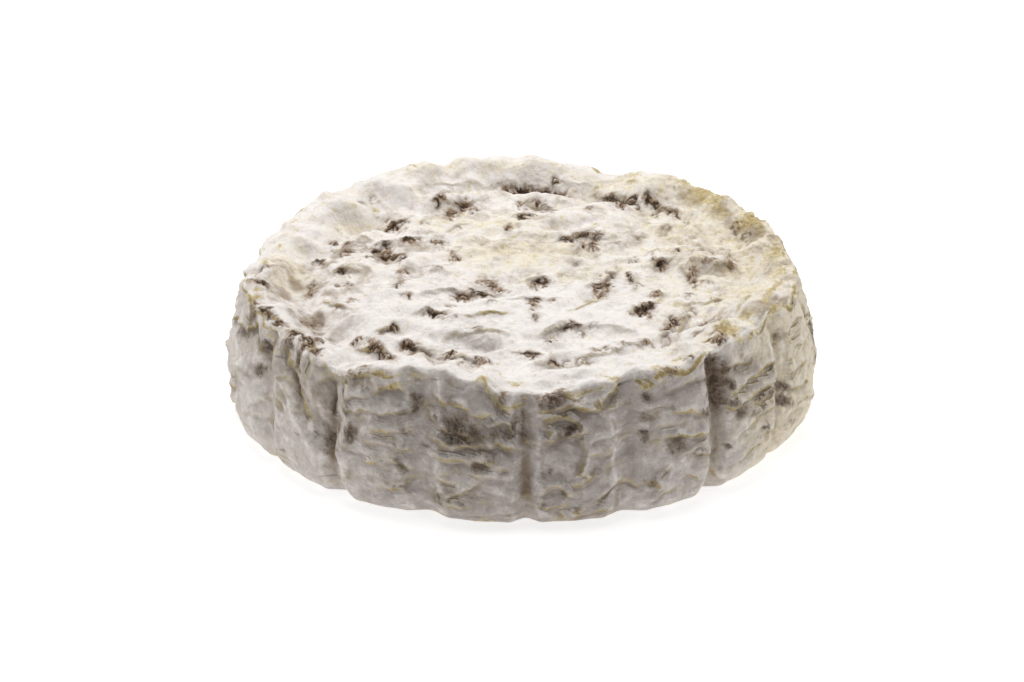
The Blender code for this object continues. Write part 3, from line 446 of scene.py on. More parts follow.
wallCreases = {
    "panels": 18,
    "firstPanel": 11.0,
    "gap": 3.7,
    "halfWidth": 0.62,
    "rise": 0.8,
    "seed": 31,
    # those on the hidden sides: heights, slope, how far each reaches and strays, share of lenses and
    # of short ones
    "levels": (2.6, 31.5),
    "slope": (-1.6, 2.6),
    "reach": 0.42,
    "stray": 1.2,
    "lensFrom": 0.55,
    "shortTo": 0.3,
    # angle and height, to angle and height, bow, lift, ochre
    "shown": [
        (44, 29, 50, 28.2, 0.2, 0.6, 0.6), (45, 23.6, 52, 24.6, 0.2, 1, 1),
        (51, 24.4, 60, 24.6, 1, 0.9, 0.9), (44, 20.2, 50, 20.2, -0.3, 1, 1),
        (50, 20.2, 59.5, 22.2, 0.5, 1.1, 1), (52, 18.2, 60, 19, 0.2, 0.8, 1),
        (51, 15, 60, 15.2, 0.3, 0.8, 0.8), (46, 6.9, 50, 8.2, 0.2, 0.8, 1),
        (50, 8.2, 53.5, 7.8, -0.2, 0.7, 1), (53.5, 7.8, 55, 10.4, 0.2, 0.7, 0.9),
        (55, 10.4, 57, 9.6, 0.3, 0.7, 0.9), (57, 9.6, 59, 12.2, 0.2, 0.7, 0.9),
        (46, 13, 52, 13.6, 0.3, 0.5, 0.3), (63, 28.6, 73, 29.2, 0.4, 0.6, 0.7),
        (64.5, 23.5, 71, 24, 0.4, 0.7, 0.9), (64.5, 20.2, 74, 18.6, -0.3, 0.8, 0.9),
        (63.5, 16.6, 73, 14, -0.3, 0.8, 0.9), (72, 10.6, 80, 6, 0.3, 0.5, 0.7),
        (66, 26.4, 71, 27.2, 0.2, 0.5, 0.6), (65, 9.6, 71, 9, 0.2, 0.4, 0.4),
        (73, 23, 82, 23.4, 0.4, 0.5, 0.6), (30.5, 23.8, 35, 23, -0.2, 0.8, 0.9),
        (35, 22.4, 39.5, 19.4, 0.3, 0.8, 0.6), (24, 24.8, 30, 25.4, 0.2, 0.5, 0.3),
        (28, 18.6, 34, 17.3, -0.2, 0.9, 1), (34, 17.3, 39.8, 15.7, -0.2, 0.8, 1),
        (35, 11.9, 40.4, 10.8, -0.2, 0.6, 0.7), (33.5, 8, 37, 6.6, 0.1, 0.5, 0.7),
        (24.4, 29.9, 29, 30.2, 0.1, 0.6, 0.8), (24, 8.8, 27, 6.4, 0.8, 0.7, 0.7),
        (26, 9, 29, 10.6, 0.1, 0.6, 0.5), (26, 4, 30, 5, 0.5, 0.6, 0.7),
        (26.4, 21, 29.6, 20.6, 0.2, 0.5, 0.4), (29, 28, 38, 29.2, 0.3, 0.6, 0.2),
        (40, 6.4, 43, 3.4, 0.2, 0.5, 0.6), (32, 13.2, 39, 13.8, 0.2, 0.4, 0.2),
        (4, 27.3, 14.8, 27.1, 0.3, 1.2, 0.8), (14.8, 27.1, 19.2, 31.6, -0.9, 1.1, 1),
        (8, 30.4, 12.8, 28.4, -0.4, 1, 0.5), (12.8, 28.3, 17.4, 29.4, -0.4, 0.9, 0.7),
        (3.4, 23.8, 8, 25.5, 0.5, 0.9, 0.6), (8, 25.5, 12, 22.9, 0.4, 0.9, 0.4),
        (5, 20.5, 12, 22.9, -0.4, 0.9, 0.5), (4.6, 23.6, 6, 20.8, 0.3, 0.7, 0.6),
        (11.2, 21, 12.4, 17, 0.3, 0.6, 0.4), (12.4, 17, 10.4, 12.4, 0.3, 0.7, 0.5),
        (12, 16.6, 14.6, 17.2, 0.2, 0.5, 0.8), (10.4, 12.4, 14, 12.5, 0.3, 0.6, 0.7),
        (9.6, 9.8, 13.4, 12, -0.2, 0.7, 0.9), (3.6, 9.2, 7.6, 9.4, 0.2, 0.6, 0.7),
        (7.2, 9.2, 8.8, 7.4, 0.4, 0.6, 0.6), (3.8, 5.2, 8.4, 5.9, -0.3, 0.7, 0.8),
        (14.8, 5.8, 19, 9.6, 0.2, 0.8, 0.8), (9.6, 3.4, 11.4, 4.4, 0.2, 0.6, 0.6),
        (10, 1.9, 14, 2.8, 0.3, 0.7, 1), (14, 2.8, 17.4, 1.9, 0.3, 0.7, 1),
        (7.4, 4, 8.6, 1.4, 0.3, 0.6, 0.8), (18.8, 7, 19, 3, 0.2, 0.4, 0.7),
        (15.6, 25.6, 19, 26.6, 0.2, 0.5, 0.4), (13, 20, 19, 20.8, 0.3, 0.5, 0.1),
        (-17.6, 24.8, -15.4, 22.8, 0.2, 0.9, 0.8), (-15.4, 22.8, -9.4, 21.6, 0.3, 1.1, 0.4),
        (-14, 22.4, -8, 19.4, -0.2, 0.7, 0.2), (-16.8, 19.9, -13, 18.5, -0.2, 0.8, 0.7),
        (-13, 18.5, -5.4, 19.4, 0.4, 1.1, 0.5), (-5.4, 19.3, -1, 18.4, 0.3, 0.8, 0.5),
        (-16.6, 15.7, -10, 15.4, 0.2, 0.6, 0.6), (-9, 15.6, -5.6, 15.2, 0.6, 0.7, 0.6),
        (-4.6, 14.2, -2.2, 14.6, 0.1, 0.5, 0.7), (-16.6, 11.2, -11, 10.4, 0.2, 0.6, 0.9),
        (-16.4, 7.6, -14.6, 4.8, -0.5, 0.8, 0.9), (-14.6, 4.8, -10.4, 4.5, -0.3, 0.7, 0.8),
        (-14.2, 6, -8, 10.8, 0.2, 0.9, 0.5), (-8.8, 26.4, -5, 26.2, 0.3, 0.7, 0.9),
        (-4, 29, -2.2, 26.6, 0.1, 1, 1), (-6, 23.6, -1.6, 24.2, 0.3, 0.8, 0.4),
        (-2.6, 24.6, -1.8, 20.8, 0.4, 0.9, 0.4), (-16.6, 29, -13.8, 27.6, -0.1, 0.8, 1),
        (-13.6, 28.4, -9.6, 27.4, 0.4, 0.9, 0.8), (-6, 31, -3, 28, 0.3, 0.8, 0.6),
        (-9, 12.8, -3, 12.2, 0.3, 0.4, 0.1), (-28.4, 28.6, -23, 30.8, 0.6, 0.9, 0.9),
        (-24.6, 30.3, -22.6, 29.6, 0.2, 0.8, 0.9), (-37, 28.4, -29.4, 31.4, 0.4, 0.7, 0.8),
        (-28, 23.8, -21.4, 25, 0.3, 0.8, 0.5), (-24.6, 24.4, -21.6, 24, 0.1, 0.5, 0.9),
        (-37, 21.6, -33.6, 22.2, 0.2, 0.8, 0.9), (-33.6, 22, -27, 24.6, 0.2, 0.7, 0.5),
        (-37, 24.6, -31, 26.6, 0.3, 0.8, 0.3), (-28.6, 19.8, -21.4, 20.2, 0.4, 0.7, 0.6),
        (-23.8, 16.4, -21.4, 16.2, 0.1, 0.5, 0.9), (-30, 16.4, -24.6, 16.9, 0.2, 0.6, 0.4),
        (-25.4, 13, -21.4, 11.8, 0.8, 0.8, 0.7), (-30.2, 12.2, -27.4, 12.4, 0.2, 0.5, 0.9),
        (-27, 6.9, -23.2, 7.4, -0.3, 0.7, 1), (-23.2, 7.4, -22, 9.6, -0.1, 0.6, 0.7),
        (-36, 13.6, -29, 14.4, 0.3, 0.5, 0.1), (-39.2, 26.6, -38.6, 19, 0.2, 0.9, 0.4),
        (-38.6, 15.4, -37, 8.6, 0.3, 0.9, 0.7), (-38.2, 12.8, -36.8, 10.4, -0.5, 0.7, 0.6),
        (-53.6, 31, -49.6, 26.4, 0.1, 1, 1), (-49.6, 26.4, -46, 21.6, 0.1, 1.1, 0.9),
        (-46, 21.6, -44, 17.6, -0.1, 0.9, 0.8), (-56.6, 30.6, -54.6, 26.6, -0.2, 0.8, 0.5),
        (-60, 25, -57.4, 22.4, 0.1, 0.9, 0.8), (-57.4, 22.4, -54, 19, 0.1, 0.9, 0.4),
        (-54, 19, -52.4, 16.6, 0, 0.8, 0.3), (-64.6, 29.6, -62.4, 26, -0.4, 0.9, 1),
        (-69.4, 28.2, -64.6, 29.6, 0.4, 0.8, 1), (-78, 25.6, -69.6, 27.2, 0.3, 0.7, 0.4),
        (-84, 24, -78.6, 25.8, 0.2, 0.7, 1), (-45.6, 30.6, -45, 26, 0.2, 0.7, 0.5),
        (-48, 30, -47, 24, 0.3, 0.8, 0.9), (-54, 23, -51.4, 24.4, 0.2, 0.5, 0.6),
        (-66, 10.8, -58, 16, 0.6, 0.4, 0.2), (-74, 17.4, -63, 20, 0.6, 0.5, 0.1),
        (-56, 13, -50, 8, 0.6, 0.3, 0.1), (-69, 8.8, -62, 10.4, 0.3, 0.4, 0.5),
        (-42.6, 26.4, -40.8, 27.6, 0.1, 0.6, 0.3), (-72, 29.6, -66, 30.4, 0.2, 0.7, 0.6),
    ],
    # angles between which the list above is the whole of it
    "shownFrom": -82.0,
    "shownTo": 79.0,
}


def allCreases():
    form = wallCreases
    creases = [(fromAngle * arc, low, toAngle * arc, high, *rest)
               for fromAngle, low, toAngle, high, *rest in form["shown"]]
    rng = np.random.default_rng(form["seed"])
    pitch = 360.0 / form["panels"]
    for panel in range(form["panels"]):
        middle = degreesFrom(form["firstPanel"] + panel * pitch, 0.0)
        seen = form["shownFrom"] < middle < form["shownTo"]
        slope = rng.uniform(*form["slope"])
        for level in np.arange(*form["levels"], form["gap"]):
            start = (middle - rng.uniform(0.3, 1.0) * form["reach"] * pitch) * arc
            end = (middle + rng.uniform(0.3, 1.0) * form["reach"] * pitch) * arc
            height = level + rng.uniform(-form["stray"], form["stray"])
            bow, lift, ochre = rng.uniform(-0.8, 1.0), rng.uniform(0.3, 0.8), rng.uniform(0.1, 1.0)
            split = rng.uniform(0.0, 1.0)
            if seen:
                continue
            creases.append((start, height, end, height + slope, bow, lift, ochre))
            if split > form["lensFrom"]:  # a second lip makes a lens of it
                creases.append((start, height, end, height + slope, bow + 1.5, 0.7 * lift, ochre))
            if split < form["shortTo"]:  # a short one beside it
                creases.append((end - 3.0, height - 1.6, end + 2.0, height - 1.2, 0.2, 0.7, 0.9))
    return creases


# folds of the top's skin: from x, y to x, y, bow, lift, ochre
topFolds = {
    "halfWidth": 0.6,
    "bow": 0.6,
    "rise": 0.4,
    "seed": 51,
    "shown": [
        (10, -18.5, 19, -12.5, 0.8, 0.7, 0.5), (-16, -30.5, -3, -29.5, 0.8, 0.8, 0.3),
        (-12, -22, -3, -21, 0.5, 0.7, 0.8), (4, -29.5, 14, -27.2, 0.8, 1, 0.2),
        (14, -27.2, 24, -29.6, 0.8, 0.8, 0.1), (12, -45.4, 20, -41.6, -0.6, 1, 0.2),
        (20, -41.6, 28, -35.6, -0.4, 1, 0.2), (3, -45, 8, -47.2, -0.5, 0.9, 0.2),
        (8, -47.2, 16, -45.6, -0.3, 0.8, 0.2), (-20, -40.5, -8, -46, 0.8, 0.9, 0.2),
        (-31, -29.6, -26, -28.6, 0.8, 0.9, 0.4), (-35, -32.5, -29, -36.5, 0.6, 1.1, 0.4),
        (-26, -32.8, -16, -39.5, 0.8, 0.9, 0.1), (-2, -39.2, 5, -39.6, 0.7, 0.9, 0.2),
        (-22, -7.8, -11, -6, 1.4, 0.9, 0.1), (-11, -5.8, -4, -8.6, 0.8, 0.9, 0.1),
        (-23, -18.6, -15, -17.2, 0.9, 0.8, 0.1), (-3, -13.2, 5, -12.8, 0.7, 0.6, 0.1),
        (25, -18.6, 31, -8, -1, 1, 0.3), (30, -33.6, 36, -21, -0.8, 1, 0.3),
        (36, -16.4, 44, -13, 1.2, 0.7, 0.4), (14, -5.8, 21, 3, 0.8, 0.9, 0.2),
        (8, 21.6, 13, 25.6, 0.6, 1, 0.2), (13, 25.8, 19, 22, 0.6, 1, 0.1), (18, 50, 27, 44.6, 0.8, 1, 0.1),
        (24, 46.4, 28, 40.6, 0.8, 1, 0.1), (28, 43.8, 36, 39, 0.6, 1, 0.2), (-20, 42, -11, 45, 0.8, 1, 0.1),
        (-31, 31.6, -25, 38, 0.6, 0.9, 0.2), (-34, 17.8, -29, 21.6, 0.8, 1, 0.1),
        (-33, 13.6, -26, 14.6, -0.8, 0.9, 0.3), (-27, 21, -22, 22.8, 0.6, 0.8, 0.1),
        (-47, 17.6, -43, 12, 0.8, 0.9, 0.2), (-1, 33.4, 3, 35, 0.8, 0.8, 0.1),
        (-17, 25.6, -12, 31.4, 0.6, 0.7, 0.3), (40, 5.4, 49, 6.4, -0.8, 0.8, 0.1),
        (-52, -12, -46, -20, 0.8, 0.7, 0.2), (-58, -22, -49, -32, 0.8, 1, 0.4),
        (-49, -33.6, -43, -42.4, 0.8, 1, 0.4), (-43, -12, -37, -17.6, 0.8, 0.8, 0.5),
        (46, -29.6, 53, -18, 0.6, 0.8, 0.6), (-14, -53.5, 0, -54.4, 0.6, 0.5, 0.1),
        (28, 6.6, 34, 9.6, 1, 0.8, 0.1), (48, 31, 50, 20, 0.6, 0.8, 0.3), (2, 44.6, 8, 40, 0.8, 0.8, 0.4),
        (36, 5, 38, -4, 0.5, 0.9, 0.2), (-21, 5.6, -16, 4.6, 0.8, 0.7, 0.1),
        (-42, 4.8, -36, 4, 0.6, 0.9, 0.3), (-60, -2, -54, -9.6, 0.6, 0.9, 0.2),
        (-46, 2.4, -46, -4.6, 0.3, 0.7, 0.2), (24, 3.6, 26, -5.4, 0.5, 0.8, 0.1),
        (-9, 51.8, 15, 51.2, 0.6, 0.5, 0.1), (-23, 47.8, -9, 51.7, 0.8, 0.5, 0.3),
        (1, 0.8, 6, -0.6, 0.8, 0.9, 0.1), (2, -18, 4, -25, 0.4, 0.6, 0.2),
        (-15, -38, -12.6, -44, -0.4, 0.9, 0.5),
    ],
}


# a fold across its line, in its own widths: a lip, steep outside, with a hollow under it
foldShape = {
    "reach": 7.0,
    "lipInside": 2.4,
    "lipOutside": 0.9,
    "hollowPlace": -2.2,
    "hollowWidth": 1.4,
    "hollowDepth": 0.65,
    "endFade": 0.8,
    "nearness": 2.6,
    "farOffset": 4.0,
}


def foldFields(u, v, folds, width, seed, span):
    # on a sheet with the places u, v: the folds' relief, signed distance from the nearest lip in its widths,
    # and how strong the fold and its ochre are there
    shape = foldShape
    flat = np.zeros_like(u)
    wobble = 0.15 * ripples(u, v, flat, 3.0, seed + 1) + 0.28 * ripples(u, v, flat, 8.0, seed + 3)
    broken = smoothStep(ripples(u, v * 1.5, flat, 3.6, seed + 2), -1.2, 0.2)
    relief, offset = np.zeros_like(u), np.full_like(u, 3.0)
    strength, ochre = np.zeros_like(u), np.zeros_like(u)
    for fromU, fromV, toU, toV, bow, lift, stain in folds:
        runU, runV = toU - fromU, toV - fromV
        length = math.hypot(runU, runV)
        alongU, alongV = u - fromU, v - fromV
        if span:  # round the wall, the sheet meets itself
            alongU = (alongU + span / 2) % span - span / 2
        near = np.abs(alongU - runU / 2) < abs(runU) / 2 + shape["reach"]
        near &= np.abs(alongV - runV / 2) < abs(runV) / 2 + shape["reach"]
        alongU, alongV = alongU[near], alongV[near]
        along = (alongU * runU + alongV * runV) / length
        off = (alongV * runU - alongU * runV) / length
        share = np.clip(along / length, 0.0, 1.0)
        beyond = np.maximum(np.maximum(-along, along - length), 0.0)
        off = (off - 4.0 * bow * share * (1.0 - share) + wobble[near]) / (width * (0.6 + 0.5 * lift))
        arch = np.sqrt(np.clip(4.0 * share * (1.0 - share), 0, 1))
        taper = hump(beyond / shape["endFade"]) * (0.45 + 0.55 * arch)
        lip = np.where(off > 0, hump(off / shape["lipInside"]), hump(off / shape["lipOutside"]))
        lip *= 0.6 + 0.4 * broken[near]
        hollow = hump((off - shape["hollowPlace"]) / shape["hollowWidth"])
        relief[near] += (lip - shape["hollowDepth"] * hollow) * taper * lift
        nearness = np.exp(-(off / shape["nearness"]) ** 4) * taper * lift
        closer = nearness > strength[near]
        where = np.flatnonzero(near)[closer]
        strength[where] = nearness[closer]
        offset[where] = np.clip(off[closer], -shape["farOffset"], shape["farOffset"])
        ochre[where] = (nearness * stain * (0.3 + 0.7 * broken[near]))[closer]
    return np.clip(relief - 0.1, -1.5, 1.2), offset, strength, ochre


# the base mesh: the top as a fan of widening rings, then shoulder, wall and foot as rows of one count

wheelMesh = {
    "sectors": 6,
    "topRings": 120,
    "shoulderRings": 12,
    "wallRings": 56,
    "footCap": 0.55,
    # heights that the rind's marks go by: the top's middle, and how far the shoulder drops
    "middleLevel": 30.0,
    "shoulderDrop": 4.0,
}


def baseGrid():
    points, faces, heights, walls = [], [], [], []
    sectors, topRings = wheelMesh["sectors"], wheelMesh["topRings"]
    rimLevel = wheelForm["rimHeight"]

    def addRing(place, height, wall):
        start = sum(len(p) for p in points)
        points.append(np.stack(place, axis=1))
        heights.append(np.full(len(place[0]), height))
        walls.append(np.full(len(place[0]), wall))
        return start

    middle = np.zeros(1)
    inner = addRing(topPoint(middle, middle), wheelMesh["middleLevel"], 0.0)
    for ring in range(1, topRings + 1):
        angle = np.arange(sectors * ring) * 360.0 / (sectors * ring)
        radius = np.full_like(angle, wheelForm["rimRadius"] * ring / topRings)
        outer = addRing(topPoint(angle, radius), rimLevel, 0.0)
        inners = max(1, sectors * (ring - 1))
        for sector in range(sectors):
            ins = [inner + (sector * (ring - 1) + k) % inners for k in range(ring)]
            outs = [outer + (sector * ring + k) % len(angle) for k in range(ring + 1)]
            faces += [(outs[k], outs[k + 1], ins[k]) for k in range(ring)]
            faces += [(ins[k], outs[k + 1], ins[k + 1]) for k in range(ring - 1)]
        inner = outer

    around = sectors * topRings
    angle = np.arange(around) * 360.0 / around
    rows = []
    for step in range(1, wheelMesh["shoulderRings"] + 1):
        share = step / wheelMesh["shoulderRings"]
        drop = wheelMesh["shoulderDrop"] * (1 - math.cos(share * math.pi / 2))
        rows.append((shoulderPoint(angle, share), rimLevel - drop, share))
    for step in range(1, wheelMesh["wallRings"]):
        height = wheelForm["wallTopHeight"] * (1.0 - step / wheelMesh["wallRings"])
        rows.append((wallPoint(angle, np.full_like(angle, height)), height, 1.0))
    x, y, z = wallPoint(angle, np.zeros_like(angle))
    rows.append(((x, y, z * 0.0), 0.0, 1.0))
    upper = inner
    for place, height, wall in rows:
        lower = addRing(place, height, wall)
        faces += [(upper + k, lower + k, lower + (k + 1) % around, upper + (k + 1) % around)
                  for k in range(around)]
        upper = lower

    # the foot's underside, every third point taken inward and closed by one face
    third = around // 3
    cap = addRing((points[-1][::3] * wheelMesh["footCap"]).T, 0.0, 1.0)
    for k in range(third):
        a, b, c, d = (upper + (3 * k + step) % around for step in range(4))
        here, following = cap + k, cap + (k + 1) % third
        faces += [(a, here, b), (b, here, following, c), (c, following, d)]
    faces.append(tuple(cap + k for k in range(third)))
    return np.concatenate(points), faces, np.concatenate(heights), np.concatenate(walls)


def markField(marks, x, y, spread=1.0):
    field = np.zeros_like(x)
    for atX, atY, halfLength, halfWidth, turn, strength in marks:
        one = ellipseHump(x, y, atX, atY, halfLength * spread, halfWidth * spread, turn)
        field = np.maximum(field, strength * one)
    return field


def wallField(marks, angle, height, spread=1.0):
    # as markField, with angles and heights round the wall
    field = np.zeros_like(angle)
    for at, level, halfLength, halfWidth, turn, strength in marks:
        away = degreesFrom(angle, at) * arc
        one = ellipseHump(away, height, 0.0, level, halfLength * spread, halfWidth * spread, turn)
        field = np.maximum(field, strength * one)
    return field


def seededMarks(rng, count, long, low, high):
    # wall marks for the sides that the photograph doesn't show
    hidden = rindMarks["hidden"]
    return [(rng.uniform(*hidden["angles"]), rng.uniform(*hidden["heights"]), rng.uniform(0.3, 1.0) * long,
             rng.uniform(*hidden["widths"]), rng.uniform(*hidden["turns"]), rng.uniform(low, high))
            for _ in range(count)]


flutes = {
    "count": 18,
    "first": 1.0,
    "depth": 1.9,
    "halfWidth": 2.6,
    "unevenness": 0.2,
    "lip": 0.45,
    "flatness": 0.6,
    # number, half width and depth of those that differ
    "odd": [(0, 2.2, 2.1), (1, 3.1, 1.7), (2, 2.5, 2.5), (16, 2.7, 2.3), (17, 3.0, 1.5)],
    # how dark a flute's floor is painted, by its number: painted shade in the channel, with brown stain
    "floorShadesAndStains": [(0, 1.0), (1, 0.18), (2, 0.85), (3, 0.3), (4, 0.2), (14, 0.3), (15, 0.35), (16, 0.85),
               (17, 0.12)],
}


def fluteSizes():
    rng = np.random.default_rng(wheelForm["seed"] + 4)
    uneven = 1.0 + flutes["unevenness"] * rng.uniform(-1.0, 1.0, (2, flutes["count"]))
    widths, depths = flutes["halfWidth"] * uneven[0], flutes["depth"] * uneven[1]
    for number, width, depth in flutes["odd"]:
        widths[number], depths[number] = width, depth
    return widths, depths


def crumples(marks, x, y, seed):
    # small domes of skin on every dark mark of a flat sheet, each with a crevice curled round its far side:
    # domes, crevices, signed distance from the crevice's line and how dark painted shade makes that line
    form = rindMarks["crumples"]
    rng = np.random.default_rng(seed)
    domes, crevices = np.zeros_like(x), np.zeros_like(x)
    offset, strength = np.full_like(x, 2.0), np.zeros_like(x)
    for atX, atY, halfLength, halfWidth, turn, dark in marks:
        if dark < form["darkFrom"] or dark > form["darkTo"]:
            continue
        c, s = math.cos(math.radians(turn)), math.sin(math.radians(turn))
        for _ in range(1 + int(form["perArea"] * halfLength * halfWidth)):
            along, across = rng.normal(0, 0.5, 2) * (halfLength, halfWidth)
            spotX, spotY = atX + along * c - across * s, atY + along * s + across * c
            long, wide = rng.uniform(*form["length"]), rng.uniform(*form["width"])
            facing = math.radians(rng.normal(0, form["facing"]))
            darkness = dark * rng.uniform(0.55, 1.0)
            near = (np.abs(x - spotX) < form["reach"]) & (np.abs(y - spotY) < form["reach"])
            if not near.any():
                continue
            awayX, awayY = x[near] - spotX, y[near] - spotY
            u = (awayX * math.cos(facing) + awayY * math.sin(facing)) / long
            v = (awayY * math.cos(facing) - awayX * math.sin(facing)) / wide
            out = np.hypot(u, v)
            behind = smoothStep(v / np.maximum(out, 0.01), -0.1, 0.75)
            crevice = hump((out - form["crevicePlace"]) / form["creviceWidth"])
            domes[near] = np.maximum(domes[near], darkness * hump(out / form["domeWidth"]))
            crevices[near] = np.maximum(crevices[near], darkness * behind * crevice)
            fromLine = out - form["linePlace"]
            closeness = darkness * behind * np.exp(-(fromLine / form["lineWidth"]) ** 4)
            closer = closeness > strength[near]
            where = np.flatnonzero(near)[closer]
            strength[where] = closeness[closer]
            offset[where] = np.clip(fromLine[closer] * 0.5 * (long + wide), -2.0, 2.0)
    return domes, crevices, offset, strength


# how strong the shades are that follow the wheel's form and no single mark
tints = {
    "paintedFrontShade": 0.70,
    "leftEdge": 0.4,
    "backEdge": 0.8,
    "rightEdge": 0.8,
    "moat": 0.8,
    "backOchre": 0.7,
    "footOchre": 0.5,
    "sideOchre": 0.6,
    "foldCrumbs": 0.4,
    "rightCrumbs": 0.55,
}


def tintFields(rng, x, y, z, angle, height, wall, foldOchre):
    # how grey, brown, ochre and cream the skin is at each point, and how curled and crumbly
    marks = rindMarks
    flat = np.zeros_like(x)
    radius = np.hypot(x, y)
    onTop = 1.0 - smoothStep(wall, 0.15, 0.6)
    onWall = 1.0 - onTop
    hidden = marks["hidden"]

    # grey and brown of thin bloom, with painted shade in the hollows, under the rim and over the front wall,
    # deeper on the side away from the light
    wallGrey = wallField(marks["wallGrey"] + seededMarks(rng, *hidden["grey"]), angle, z)
    wallTan = wallField(marks["wallTan"] + seededMarks(rng, *hidden["tan"]), angle, z)
    grey = np.maximum(markField(marks["topGrey"], x, y) * onTop, onWall * wallGrey)
    # painted shade: the front wall, which faces away from the lamps, is greyed
    grey = np.maximum(grey, tints["paintedFrontShade"] * onWall * hump(degreesFrom(angle, 2.0) / 50.0))
    tan = np.maximum(markField(marks["topTan"], x, y) * onTop, onWall * wallTan)

    # the left edge is browner and the moat inside it takes painted shade, the right edge at the back is
    # browner too
    uneven = smoothStep(ripples(x, y, z, 7.0, 49), -0.8, 0.9)
    leftEdge = smoothStep(-x, 30, 46) * smoothStep(-y, -25, 5) * smoothStep(height, 18, 27)
    backEdge = smoothStep(x, 28, 44) * smoothStep(y, 0, 22)
    backEdge *= smoothStep(radius, 52, 58) * smoothStep(height, 20, 28)
    rightEdge = smoothStep(x, 40, 54) * smoothStep(-y, -20, 4) * smoothStep(radius, 50, 58) * onTop
    overBack = (0.4 + 0.35 * smoothStep(-x, 5, 35)) * smoothStep(y, -22, 15) * onTop
    overBack *= 1.0 - smoothStep(radius, 47, 51)
    # painted shade in the left moat, under the rim's inner slope
    moat = smoothStep(-x, 34, 44) * smoothStep(-y, -22, -2) * (1.0 - smoothStep(radius, 54, 58)) * onTop
    tan = np.maximum(tan, uneven * np.maximum(tints["leftEdge"] * leftEdge, tints["backEdge"] * backEdge))
    tan = np.maximum(tan, (0.35 + 0.65 * uneven) * tints["moat"] * moat)
    tan = np.maximum(tan, uneven * np.maximum(tints["rightEdge"] * rightEdge, overBack))

    # ochre gathers on the rim's edge, on the creases and along the foot
    patchy = smoothStep(ripples(x, y, flat, 13.0, 41) + 0.6 * ripples(x, y, flat, 4.5, 42), -1.1, 0.8)
    # the way down from the rim's crest, along the skin
    down = np.where(wall <= 0.0, radius - wheelForm["rimRadius"], 3.0 * wall)
    down = np.where(wall >= 1.0, 3.0 + wheelForm["wallTopHeight"] - height, down)
    wander = 0.7 * ripples(x, y, flat, 9.0, 46) + 0.4 * ripples(x, y, flat, 4.0, 47)
    rimBand = 1.1 * hump((down - 2.2 - wander) / 0.95)
    rightSide = 0.8 + 0.2 * smoothStep(x, -10, 50)
    onTopOchre = markField(marks["topOchre"], x, y, 1.1 + 0.3 * smoothStep(x, 20, 45))
    onTopOchre *= 0.72 + 0.28 * smoothStep(radius, 44, 52)
    ochre = np.maximum(onTopOchre * smoothStep(height, 26, 31), rimBand * patchy * rightSide)
    ochre = np.maximum(ochre, tints["backOchre"] * backEdge * patchy)
    footLine = hump((z - 0.5) / 0.8) * smoothStep(ripples(x, y, flat, 9.0, 43), -0.8, 0.6)
    ochre = np.maximum(ochre, tints["footOchre"] * footLine * onWall)

    # cream, more of it on the right and towards the back
    cream = markField(marks["topCream"], x, y) * onTop
    warmTop = 0.05 + 0.55 * smoothStep(x, 5, 55) + 0.25 * smoothStep(y, -25, 20)
    warmWall = 0.15 + 0.75 * smoothStep(-np.abs(degreesFrom(angle, 75)), -45, -10)
    cream = np.maximum(np.maximum(cream, onTop * warmTop), onWall * warmWall)

    # curls stand where mould or ochre grew, and a few elsewhere
    stray = smoothStep(ripples(x, y, flat, 13.0, 44), 0.0, 1.4)
    rough = smoothStep(x, 15, 45) * smoothStep(radius, 20, 46) * 1.5
    rough += 0.7 * smoothStep(-x, 20, 45) * smoothStep(y, -10, 20) * (1.0 - smoothStep(radius, 46, 54))
    mouldy = 1.1 * markField(marks["topMould"], x, y, 1.7)
    curl = np.clip(mouldy + 0.4 * stray + 0.5 * rough, 0, 1) * onTop
    curl *= 1.0 - 0.75 * np.clip(markField(marks["topGrey"], x, y), 0, 1)
    rimRough = np.clip(markField(marks["topOchre"], x, y) + rimBand * patchy, 0, 1)
    rimRough = np.maximum(rimRough * smoothStep(height, 27, 31), tints["foldCrumbs"] * foldOchre)
    rimRough *= 1.0 - smoothStep(y, 0, 35) * (0.85 - 0.3 * smoothStep(x, 5, 25))
    rightRim = smoothStep(x, 30, 46) * smoothStep(radius, 48, 55) * smoothStep(height, 24, 30)
    rimRough = np.maximum(rimRough, tints["rightCrumbs"] * rightRim)
    return {"grey": grey, "tan": tan, "ochre": ochre, "cream": cream, "curl": curl, "rimRough": rimRough}


